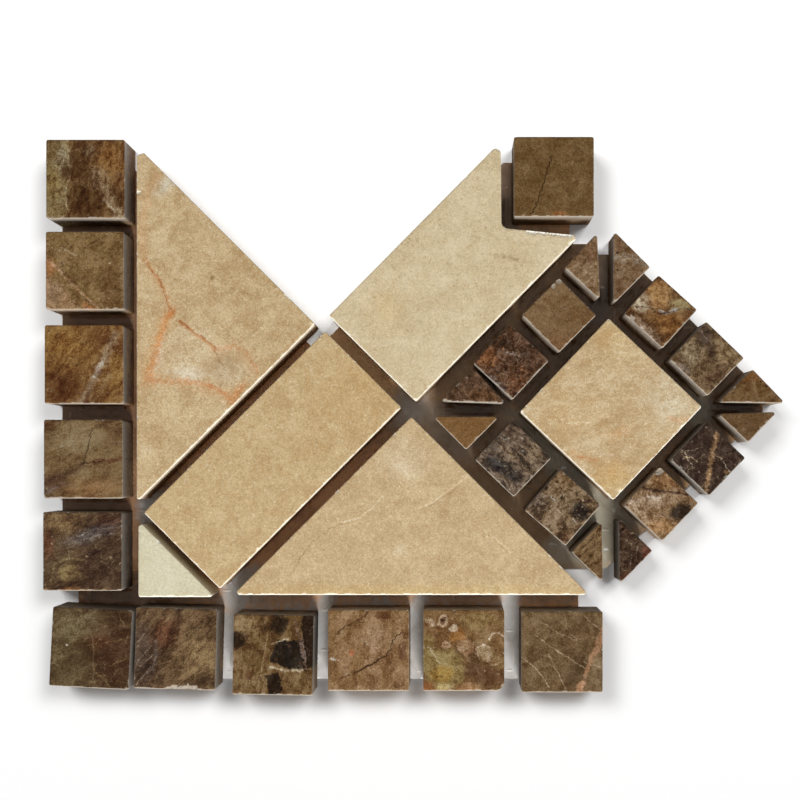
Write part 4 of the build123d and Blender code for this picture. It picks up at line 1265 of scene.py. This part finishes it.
def stone_mesh(node, stone, seed, middle):
    """A sawn stone: a worn face, rippled sides and a flat foot, and what its finish asks of each point."""
    outline = foot_outline(node) - middle
    rim = divided(outline, RIM_STEP)
    count = len(rim)
    normals = outward(rim)
    paths = [strayed_path(points, seed) for points in stone.cracks]
    flat = [Vector(p) for p in np.concatenate([rim, face_points(stone, outline, rim, paths)])]
    points, _, faces, sources, _, _ = geometry.delaunay_2d_cdt(flat, ring_edges(count), [], 1, MERGED)
    points = np.array(points)
    rim_at = {source: i for i, found in enumerate(sources) for source in found if source < count}
    ring = [rim_at[i] for i in range(count)]

    drop, bruise_and_highlight, crack = worn_face(node, stone, seed, rim, points, paths)
    side_dust_and_light, even, shaded = side_looks(stone, normals)
    corners = [(*p, STONE_TOP - d) for p, d in zip(points, drop)]
    polygons = [list(face) for face in faces]
    bruise_and_highlight, crack = list(bruise_and_highlight), list(crack)
    sawn_and_shade = [0.0] * len(corners)
    dust_and_light = [0.0] * len(corners)
    # the top edge of each side gets pale dust with painted light
    for i, share in zip(ring, side_dust_and_light):
        dust_and_light[i] = RIM_DUST_AND_LIGHT * share
    fade = RING_DUST_AND_LIGHT_FADE if node.startswith("ring") else DUST_AND_LIGHT_FADE
    above = ring
    for share in (*SIDE_ROWS, 1.0):
        row = []
        for i, top in enumerate(ring):
            height = corners[top][2] + (STONE_FOOT - corners[top][2]) * share
            ripple = 0.5 + 0.5 * noise.noise((rim[i][0] * 0.4, rim[i][1] * 0.4, height * 1.3 + seed))
            x, y = rim[i] - normals[i] * SAW_RIPPLE * ripple * (share < 1.0)
            row.append(len(corners))
            corners.append((x, y, height))
        bruise_and_highlight += [0.0] * count
        crack += [0.0] * count
        # the sawn colour grows toward the foot as painted shade, and the pale dust fades downward as painted
        # light
        sawn_and_shade += list(shaded * (0.35 + 0.65 * share ** 0.6))
        dust_and_light += list(side_dust_and_light * (even + (1.0 - even) * (1.0 - share) ** fade))
        polygons += [[above[i], row[i], row[j], above[j]] for i, j in ring_edges(count)]
        above = row
    polygons.append(above[::-1])
    return corners, polygons, {"bruise_and_highlight": bruise_and_highlight, "crack": crack, "sawn_and_shade": sawn_and_shade, "dust_and_light": dust_and_light}


def new_piece(name, corners, polygons, material, values=None, place_at=(0.0, 0.0)):
    """A mesh piece of the tile, smooth apart from its real edges."""
    mesh = bpy.data.meshes.new(name)
    mesh.from_pydata([(x * MM, y * MM, z * MM) for x, y, z in corners], [], polygons)
    for label, numbers in (values or {}).items():
        held = mesh.attributes.new(label, "FLOAT", "POINT")
        held.data.foreach_set("value", np.array(numbers, np.float32))
    mesh.polygons.foreach_set("use_smooth", [True] * len(mesh.polygons))
    mesh.set_sharp_from_angle(angle=math.radians(SHARP_EDGE))
    mesh.materials.append(material)
    piece = bpy.data.objects.new(name, mesh)
    piece.location = (place_at[0] * MM, place_at[1] * MM, 0.0)
    bpy.context.scene.collection.objects.link(piece)
    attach(piece, "root")
    return piece


def lay_stones():
    for seed, (node, stone) in enumerate(STONES.items(), start=1):
        low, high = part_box(node)
        middle = np.array((low + high).xy) / 2 / MM
        corners, polygons, values = stone_mesh(node, stone, float(seed), middle)
        piece = new_piece(node + "_stone", corners, polygons, honed_marble(node, stone, seed), values, middle)
        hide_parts(node)
        yield piece


def strand(start, along, length, over_first, net):
    """One yarn of the net, over and under at every crossing, where it lies inside the net's outline."""
    corners, polygons = [], []
    across = np.array((-along[1], along[0]))
    steps = int(length / STRAND_STEP)
    middles = np.array([start + along * STRAND_STEP * i for i in range(steps + 1)])
    sway = np.array([noise.noise((x * 0.12, y * 0.12, 3.0 + 4.0 * over_first)) for x, y in middles])
    middles = middles + across * sway[:, None] * STRAND_SWAY
    section = [(math.cos(t) * STRAND_WIDE, math.sin(t) * STRAND_THICK)
               for t in np.linspace(0, math.tau, STRAND_SIDES, endpoint=False)]
    before = None
    for i, (middle, kept) in enumerate(zip(middles, inside(middles, net))):
        if not kept:
            if before:
                polygons.append(before[::-1])
            before = None
            continue
        wave = math.cos(math.pi * (i * STRAND_STEP) / NET_PITCH) * (1 if over_first else -1)
        ring = []
        for wide, thick in section:
            x, y = middle + across * wide
            ring.append(len(corners))
            corners.append((x, y, STRAND_LEVEL + wave * STRAND_WAVE + thick))
        if before:
            polygons += [[before[j], before[k], ring[k], ring[j]] for j, k in ring_edges(STRAND_SIDES)]
        else:
            polygons.append(ring)
        before = ring
    if before:
        polygons.append(before[::-1])
    return corners, polygons


def woven_net(net):
    """All the yarns of the backing net in one piece."""
    low, high = net.min(0), net.max(0)
    corners, polygons = [], []
    for axis in (0, 1):
        along = np.array((1.0, 0.0) if axis == 0 else (0.0, 1.0))
        across = 1 - axis
        count = int((high[across] - low[across]) / NET_PITCH)
        for i in range(count + 1):
            start = low.copy()
            start[across] += NET_PITCH * (i + FIRST_STRAND)
            made, faces = strand(start, along, high[axis] - low[axis], (i + axis) % 2 == 0, net)
            polygons.extend([[c + len(corners) for c in face] for face in faces])
            corners.extend(made)
    return corners, polygons


def glue_film(net, outlines):
    """The skin of glue in the joints, drawn up a little against the stones and run in under their edges."""
    loops = [divided(outline, FILM_EDGE_STEP) for outline in outlines]
    holes = [loop - outward(loop) * FILM_UNDER_STONE for loop in loops]
    field = grid(net.min(0), net.max(0), FILM_STEP)
    field = field[inside(field, net)]
    field = field[nearest(field, net)[0] > FILM_STEP * 0.5]
    for hole in holes:
        near = nearest(field, hole)[0] < FILM_STEP * 0.5
        field = field[~(inside(field, hole) | near)]
    points, border = [], []
    for loop in (divided(net, FILM_EDGE_STEP), *holes):
        border += ring_edges(len(loop), len(points))
        points.extend(loop)
    points.extend(field)
    points, _, faces, _, _, _ = geometry.delaunay_2d_cdt([Vector(p) for p in points], border, [], 0, MERGED)
    points = np.array(points)
    middles = np.array([points[list(face)].mean(0) for face in faces])
    kept = inside(middles, net)
    for hole in holes:
        kept &= ~inside(middles, hole)
    faces = [list(face) for face, keep in zip(faces, kept) if keep]

    gap = np.full(len(points), np.inf)
    under = np.zeros(len(points), bool)
    for outline in outlines:
        gap = np.minimum(gap, nearest(points, outline)[0])
        under |= inside(points, outline)
    rough = np.array([noise.noise((x * 0.5, y * 0.5, 9.0)) for x, y in points])
    climb = FILM_DRAWN_UP * np.exp(-gap / FILM_CLIMB_WIDTH) * (1 + 0.5 * rough)
    top = FILM_TOP + FILM_LUMPS * rough + np.where(under, FILM_UNDER_RISE, climb)
    used = sorted({i for face in faces for i in face})
    upper = {old: new for new, old in enumerate(used)}
    lower = {old: new + len(used) for new, old in enumerate(used)}
    corners = [(*points[i], top[i]) for i in used] + [(*points[i], FILM_FOOT) for i in used]
    polygons = [[upper[i] for i in face] for face in faces]
    polygons += [[lower[i] for i in reversed(face)] for face in faces]
    edges = dict.fromkeys(edge for face in faces for edge in zip(face, face[1:] + face[:1]))
    for here, there in edges:
        if (there, here) not in edges:
            polygons.append([upper[there], upper[here], lower[here], lower[there]])
    return corners, polygons


def lay_net():
    net = foot_outline("backing_net")
    for name, (corners, polygons), material in (
            ("woven_net", woven_net(net), net_yarn()),
            ("glue_film", glue_film(net, [foot_outline(node) for node in STONES]), clear_glue())):
        piece = new_piece(name, corners, polygons, material)
        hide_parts("backing_net")
        yield piece


# Studio

def seen_rays(tree):
    """One for rays that show the surroundings to the eye, straight, mirrored or through glass."""
    rays = add(tree, "LightPath", {}).outputs
    seen = sums(tree, "MAXIMUM", rays["Is Camera Ray"], rays["Is Glossy Ray"])
    return sums(tree, "MAXIMUM", seen, rays["Is Transmission Ray"])


def lay_floor():
    """A white floor that keeps the tile's shadow and is plain white beyond the picture."""
    half = FLOOR_SIZE / 2 * MM
    level = -FLOOR_GAP * MM
    mesh = bpy.data.meshes.new("floor")
    mesh.from_pydata([(-half, -half, level), (half, -half, level), (half, half, level), (-half, half, level)],
                     [], [(0, 1, 2, 3)])
    floor = bpy.data.objects.new("floor", mesh)
    bpy.context.scene.collection.objects.link(floor)
    material, tree, shader = new_finish("white_floor")
    shader.inputs["Base Color"].default_value = (0.82, 0.82, 0.82, 1.0)
    shader.inputs["Roughness"].default_value = 1.0
    shader.inputs["Specular IOR Level"].default_value = 0.0
    shader.inputs["Emission Color"].default_value = (1.0, 1.0, 1.0, 1.0)
    away = vectors(tree, "LENGTH", add(tree, "TexCoord", {}).outputs["Object"])
    glow = between(tree, away, FLOOR_WHITE_FROM * MM, FLOOR_WHITE_AT * MM, FLOOR_GLOW, 1.0)
    feed(tree, shader.inputs["Emission Strength"], times(tree, seen_rays(tree), glow))
    mesh.materials.append(material)
    return floor


def soft_light(name, at, size, power, lit):
    """A soft box aimed at the tile that lights only some pieces."""
    lamp = bpy.data.lights.new(name, "AREA")
    lamp.shape = "SQUARE"
    lamp.size = size * MM
    lamp.energy = power
    box = bpy.data.objects.new(name, lamp)
    box.location = Vector(at) * MM
    box.rotation_euler = (-Vector(at)).to_track_quat("-Z", "Y").to_euler()
    box.visible_camera = False
    bpy.context.scene.collection.objects.link(box)
    group = bpy.data.collections.new(name + "_lights")
    for piece in lit:
        group.objects.link(piece)
    box.light_linking.receiver_collection = group


def set_light(floor, pieces):
    soft_light("lower_soft_box", STONE_LAMP_AT, STONE_LAMP_SIZE, STONE_LAMP_POWER, pieces)
    x, y, z = FLOOR_LAMP_AT
    for name, at in (("upper_left_soft_box", (-x, y, z)), ("upper_right_soft_box", (x, y, z))):
        soft_light(name, at, FLOOR_LAMP_SIZE, FLOOR_LAMP_POWER, [floor])
    world = bpy.data.worlds.new("white_room")
    bpy.context.scene.world = world
    world.use_nodes = True
    tree = world.node_tree
    background = tree.nodes["Background"]
    background.inputs["Color"].default_value = (1.0, 1.0, 1.0, 1.0)
    strength = between(tree, seen_rays(tree), 0.0, 1.0, ROOM_LIGHT, 1.0, "LINEAR")
    feed(tree, background.inputs["Strength"], strength)


def set_camera():
    lens = bpy.data.cameras.new("camera")
    distance = CAMERA_OVER[2] - STONE_TOP
    lens.sensor_width = SENSOR
    lens.lens = SENSOR * distance / VIEW_WIDTH
    lens.shift_x = (VIEW_MIDDLE[0] - CAMERA_OVER[0]) / VIEW_WIDTH
    lens.shift_y = (VIEW_MIDDLE[1] - CAMERA_OVER[1]) / VIEW_WIDTH
    lens.clip_start = 10 * MM
    camera = bpy.data.objects.new("camera", lens)
    camera.location = Vector(CAMERA_OVER) * MM
    bpy.context.scene.collection.objects.link(camera)
    bpy.context.scene.camera = camera


stones = list(lay_stones())
net_pieces = list(lay_net())
set_light(lay_floor(), stones + net_pieces)
set_camera()
bpy.context.scene.view_settings.view_transform = "Standard"
